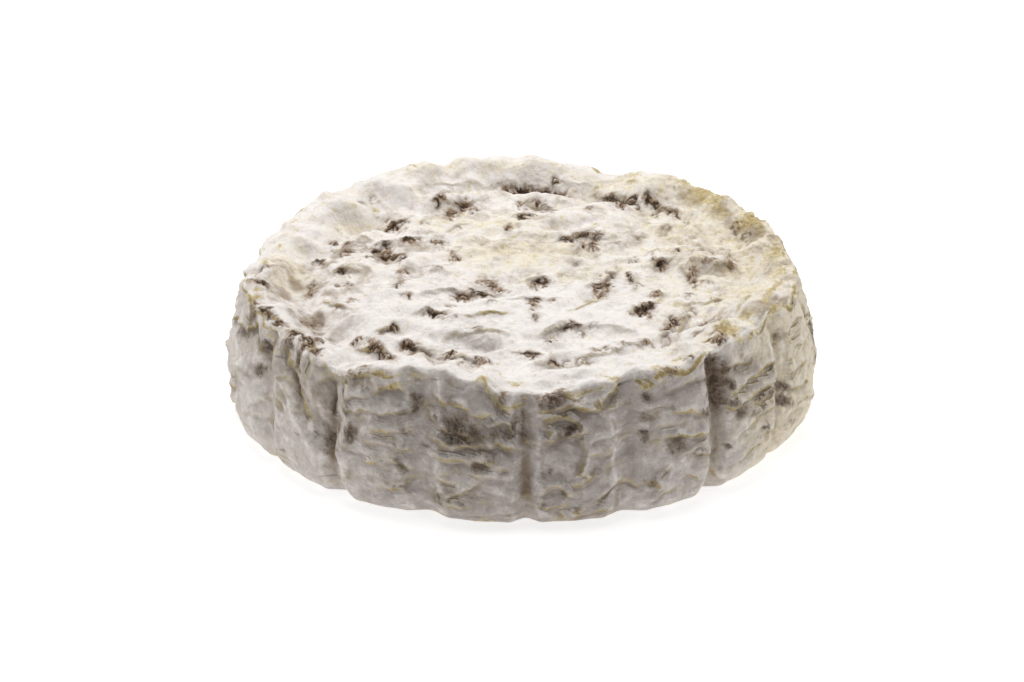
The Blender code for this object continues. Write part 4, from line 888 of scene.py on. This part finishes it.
def makeBaseWheel():
    place, faces, height, wall = baseGrid()
    x, y = place[:, 0].copy(), place[:, 1].copy()
    radius = np.hypot(x, y)
    angle = np.degrees(np.arctan2(x, -y))
    onTop = 1.0 - smoothStep(wall, 0.15, 0.6)
    onWall = 1.0 - onTop
    marks, creases = rindMarks, wallCreases
    rng = np.random.default_rng(marks["seed"])

    # crumples of the mould, and folds of the skin, on the top
    domes, crevices, topCurl, topCurlDark = crumples(marks["topMould"], x, y, marks["seed"] + 1)
    shown = [(*fold[:4], topFolds["bow"] * fold[4], *fold[5:]) for fold in topFolds["shown"]]
    topFold = foldFields(x, y, shown, topFolds["halfWidth"], topFolds["seed"], 0.0)
    lift = topFolds["rise"] * topFold[0] - marks["creviceDepth"] * crevices + marks["domeHeight"] * domes
    place[:, 2] += lift * onTop * (1.0 - smoothStep(radius, 57.0, 60.8))

    # the same on the wall, outward and inward
    wallMarks = marks["wallMould"] + seededMarks(rng, *marks["hidden"]["mould"])
    sheet = [(at * arc, *rest) for at, *rest in wallMarks]
    turned = (angle + 86.0) % 360.0 - 86.0  # the sheet's edge lies at the left
    wallDomes, wallCrevices, wallCurl, wallCurlDark = crumples(sheet, turned * arc, place[:, 2],
                                                               marks["seed"] + 2)
    wallFold = foldFields(angle * arc, place[:, 2], allCreases(), creases["halfWidth"], creases["seed"],
                          360.0 * arc)
    depth = marks["wallCrumples"]
    push = creases["rise"] * wallFold[0] - depth * wallCrevices + depth * wallDomes
    push *= onWall * smoothStep(height, 0.6, 3.0)
    place[:, 0] += push * x / np.maximum(radius, 1.0)
    place[:, 1] += push * y / np.maximum(radius, 1.0)

    # the crevices count as mould here: painted shade in them, on top and on the wall alike
    topMould = np.maximum(0.55 * crevices, 0.98 * markField(marks["topMould"], x, y, marks["topSpread"]))
    wallMould = wallField(wallMarks, angle, place[:, 2], marks["wallSpread"])
    wallMould = np.maximum(0.5 * wallCrevices, 0.85 * wallMould)
    sides = 1.0 + tints["sideOchre"] * smoothStep(np.abs(angle), 38, 52)
    foldOchre = np.where(onTop > 0.5, topFold[3], sides * wallFold[3])
    fields = tintFields(rng, x, y, place[:, 2], angle, height, wall, foldOchre)

    # each flute's floor darkened: painted shade in the channel, with brown stain
    widths, depths = fluteSizes()
    floorShadesAndStains = rng.uniform(0.05, 0.9, flutes["count"])
    for which, stain in flutes["floorShadesAndStains"]:
        floorShadesAndStains[which] = stain
    number = np.round(degreesFrom(angle, flutes["first"]) * flutes["count"] / 360.0).astype(int)
    number %= flutes["count"]
    unevenShadeAndStain = 0.8 + 0.3 * ripples(x, y, place[:, 2], 5.0, 48)

    fields.update({
        "mould": np.maximum(topMould * onTop, wallMould * smoothStep(wall, 0.0, 0.3)),
        "foldOffset": np.where(onTop > 0.5, topFold[1], wallFold[1]),
        "foldStrength": np.where(onTop > 0.5, topFold[2], wallFold[2]),
        "foldOchre": foldOchre,
        "curlOffset": np.where(onTop > 0.5, topCurl, wallCurl),
        "curlDark": np.where(onTop > 0.5, topCurlDark, 0.15 * wallCurlDark),
        "wall": smoothStep(wall, 0.0, 1.2),
        "fluteWidth": widths[number] * mm,
        "fluteDepth": depths[number] * mm,
        "fluteShadeAndStain": floorShadesAndStains[number] * smoothStep(height, 2, 9) * smoothStep(-height, -31, -25) * unevenShadeAndStain,
    })
    mesh = bpy.data.meshes.new("goatBrieBase")
    mesh.from_pydata((place * mm).tolist(), [], faces)
    for name, values in fields.items():
        layer = mesh.attributes.new(name, "FLOAT", "POINT")
        layer.data.foreach_set("value", np.asarray(values, dtype=np.float32))
    mesh.update()
    wheel = bpy.data.objects.new("goatBrieWheel", mesh)
    bpy.context.scene.collection.objects.link(wheel)
    print("base wheel:", len(mesh.vertices), "points")
    return wheel


# node helpers, for trees of both kinds

def addNode(tree, kind, inputs=None, **settings):
    node = tree.nodes.new(kind)
    for name, value in settings.items():
        setattr(node, name, value)
    for name, value in (inputs or {}).items():
        plug(tree, value, node.inputs[name])
    node.location = (190 * (len(tree.nodes) % 24), -260 * (len(tree.nodes) // 24))
    return node


def plug(tree, value, socket):
    if isinstance(value, bpy.types.NodeSocket):
        tree.links.new(value, socket)
    else:
        socket.default_value = value


def maths(tree, operation, *values):
    node = addNode(tree, "ShaderNodeMath", operation=operation)
    for value, socket in zip(values, node.inputs):
        plug(tree, value, socket)
    return node.outputs[0]


def chained(tree, operation):
    # a function that joins its values by one operation, from the left
    def join(first, *others):
        for other in others:
            first = maths(tree, operation, first, other)
        return first
    return join


def sumsOf(tree):
    # plus, minus, times and per for one tree
    return [chained(tree, operation) for operation in ("ADD", "SUBTRACT", "MULTIPLY", "DIVIDE")]


def vectorMaths(tree, operation, first, second=None):
    node = addNode(tree, "ShaderNodeVectorMath", operation=operation)
    plug(tree, first, node.inputs[0])
    if second is not None:
        plug(tree, second, node.inputs["Scale" if operation == "SCALE" else 1])
    return node.outputs["Vector"]


def named(tree, name):
    node = addNode(tree, "GeometryNodeInputNamedAttribute", data_type="FLOAT")
    node.inputs["Name"].default_value = name
    return node.outputs["Attribute"]


def stored(tree, geometry, name, value, kind="FLOAT"):
    node = addNode(tree, "GeometryNodeStoreNamedAttribute", data_type=kind, domain="POINT")
    plug(tree, geometry, node.inputs["Geometry"])
    node.inputs["Name"].default_value = name
    plug(tree, value, node.inputs["Value"])
    return node.outputs["Geometry"]


def gaussian(tree, value):
    square = maths(tree, "MULTIPLY", value, value)
    return maths(tree, "EXPONENT", maths(tree, "MULTIPLY", square, -1.0))


def noiseAt(tree, place, scale, detail, roughness, distortion=0.0):
    inputs = {"Vector": place, "Scale": scale, "Detail": detail, "Roughness": roughness,
              "Distortion": distortion}
    return addNode(tree, "ShaderNodeTexNoise", inputs).outputs[0]


def smoothRange(tree, value, low, high, start=0.0, end=1.0):
    inputs = {"Value": value, "From Min": low, "From Max": high, "To Min": start, "To Max": end}
    node = addNode(tree, "ShaderNodeMapRange", inputs, interpolation_type="SMOOTHSTEP")
    return node.outputs["Result"]


# the skin's relief: flutes round the wall, then wrinkles, ledges, curls and crumbs over the whole skin

rindRelief = {
    "Flute Count": flutes["count"],
    "First Flute": flutes["first"],
    "Flute Lip": flutes["lip"] * mm,
    "Panel Flatness": flutes["flatness"] * mm,
    "Wheel Radius": wheelForm["bellyRadius"] * mm,
    "Wrinkle Height": 0.50 * mm,
    "Wrinkle Size": 4.6 * mm,
    "Curl Height": 0.62 * mm,
    "Curl Size": 2.1 * mm,
    "Crumb Height": 0.45 * mm,
    "Crumb Size": 1.1 * mm,
    "Grain Height": 0.08 * mm,
    "Grain Size": 1.9 * mm,
    "Ledge Height": 0.40 * mm,
    "Ledge Gap": 4.6 * mm,
    "Seed": 5.0,
}

reliefShape = {
    "lipPlace": 1.7,        # in flute widths from the flute's middle
    "lipWidth": 0.6,
    "edgePlace": 1.2,
    "edgeWidth": 0.26,
    "footFade": (0.3 * mm, 3.0 * mm),
    "wrinkleStretch": (0.9, 1.0, 1.1),
    "wrinkleLossOnWall": 0.6,
    "ledgeStretch": (0.24, 0.24, 1.0),
    "ledgeLine": (0.004, 0.055),
    "ledgePatch": 9.0 * mm,
    "curlRidge": (0.02, 0.16),
    "curlMiddle": 0.55,
    # detail, distortion and shift of the noises, all of one roughness, and how much each is raised
    "noises": {"wrinkle": (1.6, 0.5, 0.0), "ledge": (2.0, 0.3, 40.0), "curl": (1.0, 1.1, 3.0),
               "crumb": (2.0, 0.5, 9.0), "grain": (1.0, 0.0, 17.0)},
    "noiseRoughness": 0.55,
    "gains": {"wrinkle": 4.0, "swell": 2.4, "line": 0.5, "crumb": 3.0, "grain": 3.0},
}


def ledgeField(tree, place, gap, seed):
    # level lines that wander round the wall: the soft swell between them, and the line itself
    flat = vectorMaths(tree, "MULTIPLY", place, reliefShape["ledgeStretch"])
    scaled = vectorMaths(tree, "SCALE", flat, maths(tree, "DIVIDE", 1.0, gap))
    shift = addNode(tree, "ShaderNodeCombineXYZ", {"X": 31.0, "Z": seed}).outputs[0]
    noise = noiseAt(tree, vectorMaths(tree, "ADD", scaled, shift), 1.0, 2.0, 0.45, 0.5)
    swell = maths(tree, "SUBTRACT", noise, 0.5)
    line = smoothRange(tree, maths(tree, "ABSOLUTE", swell), *reliefShape["ledgeLine"], 1.0, 0.0)
    return swell, line


def rindTree():
    tree = bpy.data.node_groups.new("rindRelief", "GeometryNodeTree")
    plus, minus, times, per = sumsOf(tree)
    shape, gains = reliefShape, reliefShape["gains"]
    face = tree.interface
    face.new_socket("Geometry", in_out="INPUT", socket_type="NodeSocketGeometry")
    for name, value in rindRelief.items():
        kind = "NodeSocketInt" if name == "Flute Count" else "NodeSocketFloat"
        face.new_socket(name, in_out="INPUT", socket_type=kind).default_value = value
    face.new_socket("Material", in_out="INPUT", socket_type="NodeSocketMaterial")
    face.new_socket("Geometry", in_out="OUTPUT", socket_type="NodeSocketGeometry")
    given = addNode(tree, "NodeGroupInput").outputs
    place = addNode(tree, "GeometryNodeInputPosition").outputs[0]
    split = addNode(tree, "ShaderNodeSeparateXYZ", {"Vector": place}).outputs
    wall = named(tree, "wall")

    # where a point lies between its flute and the next
    degrees = maths(tree, "DEGREES", maths(tree, "ARCTAN2", split["X"], times(split["Y"], -1.0)))
    pitch = per(360.0, given["Flute Count"])
    shifted = minus(degrees, given["First Flute"])
    nearest = times(maths(tree, "ROUND", per(shifted, pitch)), pitch)
    fromFlute = minus(shifted, nearest)
    arcLength = times(maths(tree, "RADIANS", fromFlute), given["Wheel Radius"])
    across = per(arcLength, named(tree, "fluteWidth"))
    aside = maths(tree, "ABSOLUTE", across)

    # the flute cut in, a lip on either side, and a flatter panel between two flutes
    cut = times(gaussian(tree, across), named(tree, "fluteDepth"))
    lip = gaussian(tree, per(minus(aside, shape["lipPlace"]), shape["lipWidth"]))
    halfPitch = per(fromFlute, times(pitch, 0.5))
    panel = times(minus(times(halfPitch, halfPitch), 1.0 / 3.0), given["Panel Flatness"])
    push = times(minus(plus(times(lip, given["Flute Lip"]), panel), cut), wall)
    outward = addNode(tree, "ShaderNodeCombineXYZ", {"X": split["X"], "Y": split["Y"]}).outputs[0]
    offset = vectorMaths(tree, "SCALE", vectorMaths(tree, "NORMALIZE", outward), push)
    fluted = addNode(tree, "GeometryNodeSetPosition", {"Geometry": given["Geometry"], "Offset": offset})
    # the flute's edges, where the material paints a highlight
    edge = gaussian(tree, per(minus(aside, shape["edgePlace"]), shape["edgeWidth"]))
    geometry = stored(tree, fluted.outputs[0], "flute", times(gaussian(tree, across), wall))
    geometry = stored(tree, geometry, "fluteEdge", times(edge, wall))
    # the place before the skin's relief, for textures that keep to it
    geometry = stored(tree, geometry, "skinPlace", place, "FLOAT_VECTOR")

    seedShift = addNode(tree, "ShaderNodeCombineXYZ", {"Z": given["Seed"]}).outputs[0]

    def skinNoise(name, size, stretch=(1.0, 1.0, 1.0)):
        detail, distortion, shift = shape["noises"][name]
        where = vectorMaths(tree, "MULTIPLY", place, stretch)
        where = vectorMaths(tree, "SCALE", where, per(1.0, size))
        where = vectorMaths(tree, "ADD", where, vectorMaths(tree, "ADD", seedShift, (shift, 0.0, 0.0)))
        return minus(noiseAt(tree, where, 1.0, detail, shape["noiseRoughness"], distortion), 0.5)

    wrinkle = skinNoise("wrinkle", given["Wrinkle Size"], shape["wrinkleStretch"])
    onTop = minus(1.0, times(wall, shape["wrinkleLossOnWall"]))
    wrinkle = times(wrinkle, gains["wrinkle"], onTop, given["Wrinkle Height"])

    swell, line = ledgeField(tree, place, given["Ledge Gap"], given["Seed"])
    patches = smoothRange(tree, skinNoise("ledge", shape["ledgePatch"]), -0.10, 0.10)
    ledge = plus(times(swell, gains["swell"]), times(line, patches, gains["line"]))
    ledge = times(ledge, given["Ledge Height"], wall)

    fold = maths(tree, "ABSOLUTE", skinNoise("curl", given["Curl Size"]))
    ridge = smoothRange(tree, fold, *shape["curlRidge"], 1.0, 0.0)
    curl = times(minus(ridge, shape["curlMiddle"]), named(tree, "curl"), given["Curl Height"])
    crumb = skinNoise("crumb", given["Crumb Size"])
    crumbs = times(crumb, gains["crumb"], named(tree, "rimRough"), given["Crumb Height"])
    grain = times(skinNoise("grain", given["Grain Size"]), gains["grain"], given["Grain Height"])

    # all of it along the normal, gone at the foot
    lifted = smoothRange(tree, split["Z"], *shape["footFade"])
    total = plus(plus(wrinkle, curl), plus(crumbs, grain), ledge)
    normal = addNode(tree, "GeometryNodeInputNormal").outputs[0]
    offset = vectorMaths(tree, "SCALE", normal, times(total, lifted))
    # the fields are read before the points move, so that colour and relief agree
    captured = addNode(tree, "GeometryNodeCaptureAttribute", domain="POINT")
    captured.capture_items.new("FLOAT", "ridge")
    captured.capture_items.new("FLOAT", "crumb")
    plug(tree, geometry, captured.inputs["Geometry"])
    plug(tree, ridge, captured.inputs[1])
    plug(tree, crumb, captured.inputs[2])
    shaped = addNode(tree, "GeometryNodeSetPosition",
                     {"Geometry": captured.outputs["Geometry"], "Offset": offset})
    geometry = stored(tree, shaped.outputs[0], "ridge", captured.outputs[1])
    geometry = stored(tree, geometry, "crumb", captured.outputs[2])

    smooth = addNode(tree, "GeometryNodeSetShadeSmooth", {"Geometry": geometry})
    whole = addNode(tree, "GeometryNodeRealizeInstances", {"Geometry": smooth.outputs[0]})
    dressed = addNode(tree, "GeometryNodeSetMaterial",
                      {"Geometry": whole.outputs[0], "Material": given["Material"]})
    addNode(tree, "NodeGroupOutput", {"Geometry": dressed.outputs[0]})
    return tree


# the rind's material

rindLook = {
    "colours": {
        "bloomCoolAndHighlight": (250, 244, 239),
        "bloomWarm": (245, 234, 211),
        "wallBloomAndShade": (202, 193, 186),
        "wallCream": (228, 215, 191),
        "greyBloomAndShade": (162, 151, 146),
        "tanShade": (150, 128, 102),
        "fluteShade": (138, 120, 98),
        "speck": (224, 206, 134),
        "ochreLight": (212, 194, 140),
        "ochreRim": (182, 158, 106),
        "ochreDeep": (134, 116, 78),
        "ochreWall": (181, 162, 112),
        "wallMould": (100, 84, 68),
        "mouldHaloAndShade": (144, 110, 72),
        "wallHaloAndShade": (122, 106, 88),
        "mouldDarkAndShade": (52, 36, 21),
    },
    # ragged patches: grain in mm, raggedness, and the mask's values where a patch begins and is full
    "patches": {
        "creamy": (3.4, 0.9, 0.10, 1.10),
        "speck": (2.0, 1.0, 0.26, 0.40),
        "thin": (3.0, 0.9, 0.25, 1.15),
        "wallCream": (4.0, 0.7, 0.15, 1.0),
        "tan": (2.2, 0.8, 0.05, 0.95),
        "grey": (2.4, 0.9, 0.05, 1.0),
        "smudge": (5.0, 1.0, 0.10, 0.50),
        "fluteFloor": (1.6, 0.35, 0.50, 0.95),
        "fluteEdge": (2.6, 1.0, -0.25, 0.30),
        "matLine": (6.0, 1.0, -0.05, 0.35),
        "fleck": (2.6, 1.0, -0.30, 0.14),
        "paleOchre": (1.0, 0.9, 0.26, 0.84),
        "deepOchre": (0.7, 0.6, 0.50, 1.05),
        "halo": (1.7, 0.7, 0.06, 0.62),
        "dust": (0.7, 1.0, 0.04, 0.30),
        "softMould": (3.2, 0.5, 0.10, 0.85),
        "dark": (0.55, 1.2, 0.56, 0.86),
        "crust": (5.0, 0.8, 0.10, 0.80),
    },
    # how thick each layer of colour is laid on
    "strengths": {
        "speckInCream": 0.14,
        "speck": 0.55,
        "thin": 0.95,
        "tan": 0.75,
        "grey": 0.8,
        "fluteFloor": 0.85,
        "fluteEdge": 0.62,
        "matShade": 0.65,
        "matLine": 0.45,
        "paleOchre": 0.8,
        "deepOchre": 0.85,
        "halo": 0.85,
        "softMould": 0.6,
    },
    # bands along a fold's lip or a crevice: middle and half width of the band, gain, upper limit
    "bands": {
        "crest": (0.9, 0.9, 0.8, 0.5),
        "hollow": (-1.9, 1.2, 1.0, 0.8),
        "edgeLine": (-0.35, 0.64, 2.6, 0.94),
        "deepEdge": (-0.75, 0.35, 1.5, 0.8),
        "foldLine": (-1.2, 0.5, 1.5, 0.92),
        "curlRim": (0.35, 0.55, 0.75, 0.7),
        "curlCore": (0.0, 0.24, 1.5, 0.94),
        "raised": (0.5, 0.8, 0.9, 2.0),
        "sunk": (-1.6, 0.9, 0.8, 2.0),
    },
    # scale, detail and roughness
    "noises": {
        "wander": (900.0, 3.0, 0.6),
        "thread": (1500.0, 3.0, 0.6),
        "felt": (2600.0, 4.0, 0.7),
        "clots": (700.0, 3.0, 0.6),
    },
    "curdScale": 780.0,
    "feltShade": (0.3, 0.7, 0.84, 1.08),
    "matDrop": 0.9 * mm,
    "bumpStrength": 0.6,
    "bumpDepth": 0.6 * mm,
    "roughness": 0.84,
    "sheen": 0.2,
    "sheenRoughness": 0.4,
    "gloss": 0.3,
    "subsurface": 0.12,
    "subsurfaceRadius": (1.0, 0.8, 0.6),
    "subsurfaceScale": 0.0012,
}


def brokenPatchGroup():
    # turns a soft mask into a patch with a ragged, grainy edge
    group = bpy.data.node_groups.new("brokenPatch", "ShaderNodeTree")
    plus, minus, times, per = sumsOf(group)
    face = group.interface
    face.new_socket("Place", in_out="INPUT", socket_type="NodeSocketVector")
    for name in ("Mask", "Grain Size", "Raggedness", "Low", "High"):
        face.new_socket(name, in_out="INPUT", socket_type="NodeSocketFloat")
    face.new_socket("Patch", in_out="OUTPUT", socket_type="NodeSocketFloat")
    given = addNode(group, "NodeGroupInput").outputs
    grain = noiseAt(group, given["Place"], per(1000.0, given["Grain Size"]), 5.0, 0.62, 0.3)
    value = plus(given["Mask"], times(minus(grain, 0.5), 2.0, given["Raggedness"]))
    patch = smoothRange(group, value, given["Low"], given["High"])
    addNode(group, "NodeGroupOutput", {"Patch": patch})
    return group


def mixColour(tree, factor, below, above):
    node = addNode(tree, "ShaderNodeMix", data_type="RGBA")
    plug(tree, factor, node.inputs[0])
    plug(tree, below, node.inputs[6])
    plug(tree, above, node.inputs[7])
    return node.outputs[2]


def rindMaterial():
    look = {name: linear(*shade) for name, shade in rindLook["colours"].items()}
    much = rindLook["strengths"]
    material = bpy.data.materials.new("bloomyRind")
    material.use_nodes = True
    tree = material.node_tree
    tree.nodes.clear()
    plus, minus, times, per = sumsOf(tree)
    group = brokenPatchGroup()
    place = addNode(tree, "ShaderNodeTexCoord").outputs["Object"]
    wander, thread, felt, clots = (noiseAt(tree, place, *rindLook["noises"][name])
                                   for name in ("wander", "thread", "felt", "clots"))
    layers = []

    def attribute(name, output="Fac"):
        node = addNode(tree, "ShaderNodeAttribute", attribute_name=name, attribute_type="GEOMETRY")
        return node.outputs[output]

    def patch(name, mask=0.0):
        grain, ragged, low, high = rindLook["patches"][name]
        inputs = {"Place": place, "Mask": mask, "Grain Size": grain, "Raggedness": ragged,
                  "Low": low, "High": high}
        return addNode(tree, "ShaderNodeGroup", inputs, node_tree=group).outputs[0]

    def band(name, away, *shares):
        middle, width, gain, limit = rindLook["bands"][name]
        value = times(gaussian(tree, per(minus(away, middle), width)), *shares, gain)
        return maths(tree, "MINIMUM", value, limit)

    def between(factor, below, above):
        return mixColour(tree, factor, look[below], look[above])

    def lay(above, *shares):
        # one more layer of colour, by its name or as a mix, and the shares it is laid on with
        layers.append((times(*shares), look[above] if isinstance(above, str) else above))

    mould, grey, tan, ochre, cream = map(attribute, ("mould", "grey", "tan", "ochre", "cream"))
    ridge, crumb, flute, edge, wall = map(attribute, ("ridge", "crumb", "flute", "fluteEdge", "wall"))
    strength, stain, fluteShadeAndStain = map(attribute, ("foldStrength", "foldOchre", "fluteShadeAndStain"))
    offset, curlOffset, curlDark = map(attribute, ("foldOffset", "curlOffset", "curlDark"))
    skinPlace = attribute("skinPlace", "Vector")

    # white bloom, cream where it is old, greyer on the wall: thinner bloom there, and painted shade of the
    # side, which the lamps light less than the top
    creamy = patch("creamy", cream)
    lay("speck", patch("speck", times(creamy, much["speckInCream"])), much["speck"])
    lay(between(patch("wallCream", cream), "wallBloomAndShade", "wallCream"), patch("thin", wall), much["thin"])
    # brown and grey tints, partly painted shade in the moats, the hollows, under the rim and over the front
    # wall
    lay("tanShade", patch("tan", tan), much["tan"])
    lay("greyBloomAndShade", patch("grey", grey), much["grey"])
    lay("tanShade", patch("smudge"), plus(times(wall, 0.33), 0.17))
    # painted shade along the flutes' floors, with brown stain
    lay("fluteShade", patch("fluteFloor", flute), fluteShadeAndStain, much["fluteFloor"])
    # a painted highlight along the flutes' edges
    lay("bloomCoolAndHighlight", edge, patch("fluteEdge"), much["fluteEdge"])

    # thin lines of the draining mat, with a painted shadow under each
    gap, seed = rindRelief["Ledge Gap"], rindRelief["Seed"]
    line = ledgeField(tree, skinPlace, gap, seed)[1]
    above = vectorMaths(tree, "ADD", skinPlace, (0.0, 0.0, rindLook["matDrop"]))
    under = ledgeField(tree, above, gap, seed)[1]
    broken = patch("matLine")
    lay("wallHaloAndShade", under, broken, wall, much["matShade"])
    lay("ochreLight", line, broken, wall, much["matLine"])

    # folds: a painted highlight over the lip, painted shade in the hollow under it, grey on the top and brown
    # on the wall, a ragged ochre line along its edge
    offset = plus(offset, times(minus(wander, 0.5), 1.9))
    fleck = plus(times(patch("fleck"), 0.60), 0.40)
    lay("bloomCoolAndHighlight", band("crest", offset, strength, plus(times(wall, 0.25), 0.4)))
    lay(between(wall, "greyBloomAndShade", "wallHaloAndShade"), band("hollow", offset, strength),
        plus(times(wall, 0.8), 0.2))
    lay(between(wall, "ochreLight", "ochreWall"), band("edgeLine", offset, stain, fleck))
    lay("ochreDeep", band("deepEdge", offset, stain, fleck))

    # ochre patches, deeper in their crumbs
    lay("ochreLight", patch("paleOchre", ochre), much["paleOchre"])
    lay(between(wall, "ochreRim", "ochreDeep"), patch("deepOchre", plus(ochre, times(crumb, -1.6))),
        much["deepOchre"])

    # mould: a brown halo, then nearly black in the pits, with white crests between
    inValley = times(mould, plus(times(minus(1.0, ridge), 0.8), 0.5))
    halo = patch("halo", inValley)
    dark = patch("dark", inValley)
    lay(between(wall, "mouldHaloAndShade", "wallHaloAndShade"), halo, much["halo"])
    lay("bloomCoolAndHighlight", patch("dust"), halo, minus(0.55, times(wall, 0.30)))
    lay("wallMould", patch("softMould", mould), wall, much["softMould"])
    lay("mouldDarkAndShade", dark, minus(0.94, times(wall, 0.34)))

    # the crevices round the crumples, and the hollows of folds where mould is near, as thin dark lines: mould
    # deepened with painted shade
    curlOffset = plus(curlOffset, times(minus(thread, 0.5), 0.9))
    lay("mouldHaloAndShade", band("curlRim", curlOffset, curlDark))
    lay("mouldDarkAndShade", band("curlCore", curlOffset, curlDark))
    lay("mouldDarkAndShade", band("foldLine", offset, strength, mould))

    colour = between(creamy, "bloomCoolAndHighlight", "bloomWarm")
    for share, above in layers:
        colour = mixColour(tree, share, colour, above)

    # fine felt of the bloom, in colour and in height
    low, high, darkest, lightest = rindLook["feltShade"]
    inputs = {"Value": plus(times(felt, 0.6), times(clots, 0.4)), "From Min": low, "From Max": high,
              "To Min": darkest, "To Max": lightest}
    shade = addNode(tree, "ShaderNodeMapRange", inputs).outputs["Result"]
    colour = vectorMaths(tree, "SCALE", colour, shade)

    inputs = {"Vector": place, "Scale": rindLook["curdScale"], "Smoothness": 0.5, "Randomness": 1.0}
    curds = addNode(tree, "ShaderNodeTexVoronoi", inputs, feature="SMOOTH_F1").outputs["Distance"]
    crust = patch("crust", plus(times(cream, 0.5), times(mould, 0.5)))
    height = plus(times(felt, 0.35), clots, times(crumb, 0.6))
    height = minus(height, times(curds, crust, 1.7))
    height = plus(height, band("raised", offset, strength))
    height = minus(height, band("sunk", offset, strength))
    bump = addNode(tree, "ShaderNodeBump", {"Strength": rindLook["bumpStrength"],
                                            "Distance": rindLook["bumpDepth"], "Height": height})
    rough = plus(times(felt, 0.12), rindLook["roughness"] - 0.06, times(dark, -0.18))

    skin = addNode(tree, "ShaderNodeBsdfPrincipled", {
        "Base Color": colour,
        "Roughness": rough,
        "Normal": bump.outputs[0],
        "Sheen Weight": rindLook["sheen"],
        "Sheen Roughness": rindLook["sheenRoughness"],
        "Subsurface Weight": rindLook["subsurface"],
        "Subsurface Radius": rindLook["subsurfaceRadius"],
        "Subsurface Scale": rindLook["subsurfaceScale"],
        "Specular IOR Level": rindLook["gloss"],
    })
    addNode(tree, "ShaderNodeOutputMaterial", {"Surface": skin.outputs[0]})
    print("rind material built")
    return material


def makeWheel():
    wheel = makeBaseWheel()
    tree = rindTree()
    modifier = wheel.modifiers.new("rindRelief", "NODES")
    modifier.node_group = tree
    sockets = {s.name: s.identifier for s in tree.interface.items_tree if s.in_out == "INPUT"}
    for name, value in rindRelief.items():
        modifier[sockets[name]] = value
    modifier[sockets["Material"]] = rindMaterial()
    depsgraph = bpy.context.evaluated_depsgraph_get()
    finished = bpy.data.meshes.new_from_object(wheel.evaluated_get(depsgraph),
                                               preserve_all_data_layers=True, depsgraph=depsgraph)
    wheel.modifiers.remove(modifier)
    wheel.data = finished
    finished.name = "goatBrieWheel"

    # the box of the solid is centred over the origin, so this one is too
    count = len(finished.vertices)
    spots = np.empty(count * 3, dtype=np.float32)
    finished.vertices.foreach_get("co", spots)
    spots = spots.reshape(-1, 3)
    low, high = spots.min(axis=0), spots.max(axis=0)
    spots[:, :2] -= (low[:2] + high[:2]) / 2
    finished.vertices.foreach_set("co", spots.ravel())
    finished.update()
    finished.calc_loop_triangles()
    print("wheel:", len(finished.loop_triangles), "triangles,",
          " x ".join("%.1f" % v for v in (high - low) * 1000), "mm")
    return wheel


wheel = makeWheel()
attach(wheel, "root")
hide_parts("cheese_wheel")


# floor, light and camera

studio = {
    "floorSize": 6.0,
    "floorColour": (196, 196, 196),
    "world": 0.16,
    "floorGlow": 0.70,
    "viewElevation": 23.8,
    "viewDistance": 1.0,
    "sensor": 36.0,
    "lens": 4490.0 / 1024.0 * 36.0,  # focal length and width of the photograph in pixels, times the sensor
    "shift": (-0.0094, -0.0040),
    "clip": (0.01, 50.0),
    "aim": (0.0, 0.0, 0.016),
    "lampAim": (0.0, 0.0, 0.02),
    # name, azimuth, elevation, distance, size, watts
    "lamps": [
        ("overhead", 185, 80, 0.9, 0.60, 5.6),
        ("back", 180, 38, 0.9, 0.50, 1.2),
        ("left", -95, 26, 0.8, 0.40, 1.6),
        ("right", 95, 26, 0.8, 0.40, 1.45),
    ],
}


def onSphere(azimuth, elevation, distance):
    turn, rise = math.radians(azimuth), math.radians(elevation)
    return (distance * math.sin(turn) * math.cos(rise), -distance * math.cos(turn) * math.cos(rise),
            distance * math.sin(rise))


def aimAt(thing, target):
    away = Vector(thing.location) - Vector(target)
    thing.rotation_euler = away.to_track_quat("Z", "Y").to_euler()


def makeStudio():
    scene = bpy.context.scene
    half = studio["floorSize"] / 2
    mesh = bpy.data.meshes.new("floor")
    corners = [(-half, -half, 0), (half, -half, 0), (half, half, 0), (-half, half, 0)]
    mesh.from_pydata(corners, [], [(0, 1, 2, 3)])
    floor = bpy.data.objects.new("floor", mesh)
    scene.collection.objects.link(floor)
    paint = bpy.data.materials.new("paleFloor")
    paint.use_nodes = True
    shader = paint.node_tree.nodes["Principled BSDF"]
    shader.inputs["Base Color"].default_value = linear(*studio["floorColour"])
    shader.inputs["Roughness"].default_value = 0.9
    shader.inputs["Specular IOR Level"].default_value = 0.1
    shader.inputs["Emission Color"].default_value = (1, 1, 1, 1)
    shader.inputs["Emission Strength"].default_value = studio["floorGlow"]
    mesh.materials.append(paint)

    for name, azimuth, elevation, distance, size, watts in studio["lamps"]:
        lamp = bpy.data.lights.new(name, "AREA")
        lamp.shape, lamp.size, lamp.energy = "DISK", size, watts
        light = bpy.data.objects.new(name, lamp)
        light.location = onSphere(azimuth, elevation, distance)
        aimAt(light, studio["lampAim"])
        scene.collection.objects.link(light)

    world = bpy.data.worlds.new("softWorld")
    world.use_nodes = True
    world.node_tree.nodes["Background"].inputs["Color"].default_value = (1, 1, 1, 1)
    world.node_tree.nodes["Background"].inputs["Strength"].default_value = studio["world"]
    scene.world = world

    camera = bpy.data.cameras.new("photoView")
    camera.lens, camera.sensor_width = studio["lens"], studio["sensor"]
    camera.shift_x, camera.shift_y = studio["shift"]
    camera.clip_start, camera.clip_end = studio["clip"]
    viewer = bpy.data.objects.new("photoView", camera)
    x, y, z = onSphere(0.0, studio["viewElevation"], studio["viewDistance"])
    viewer.location = (x, y, z + studio["aim"][2])
    aimAt(viewer, studio["aim"])
    scene.collection.objects.link(viewer)
    scene.camera = viewer
    scene.view_settings.view_transform = "Standard"
    print("studio set")


makeStudio()
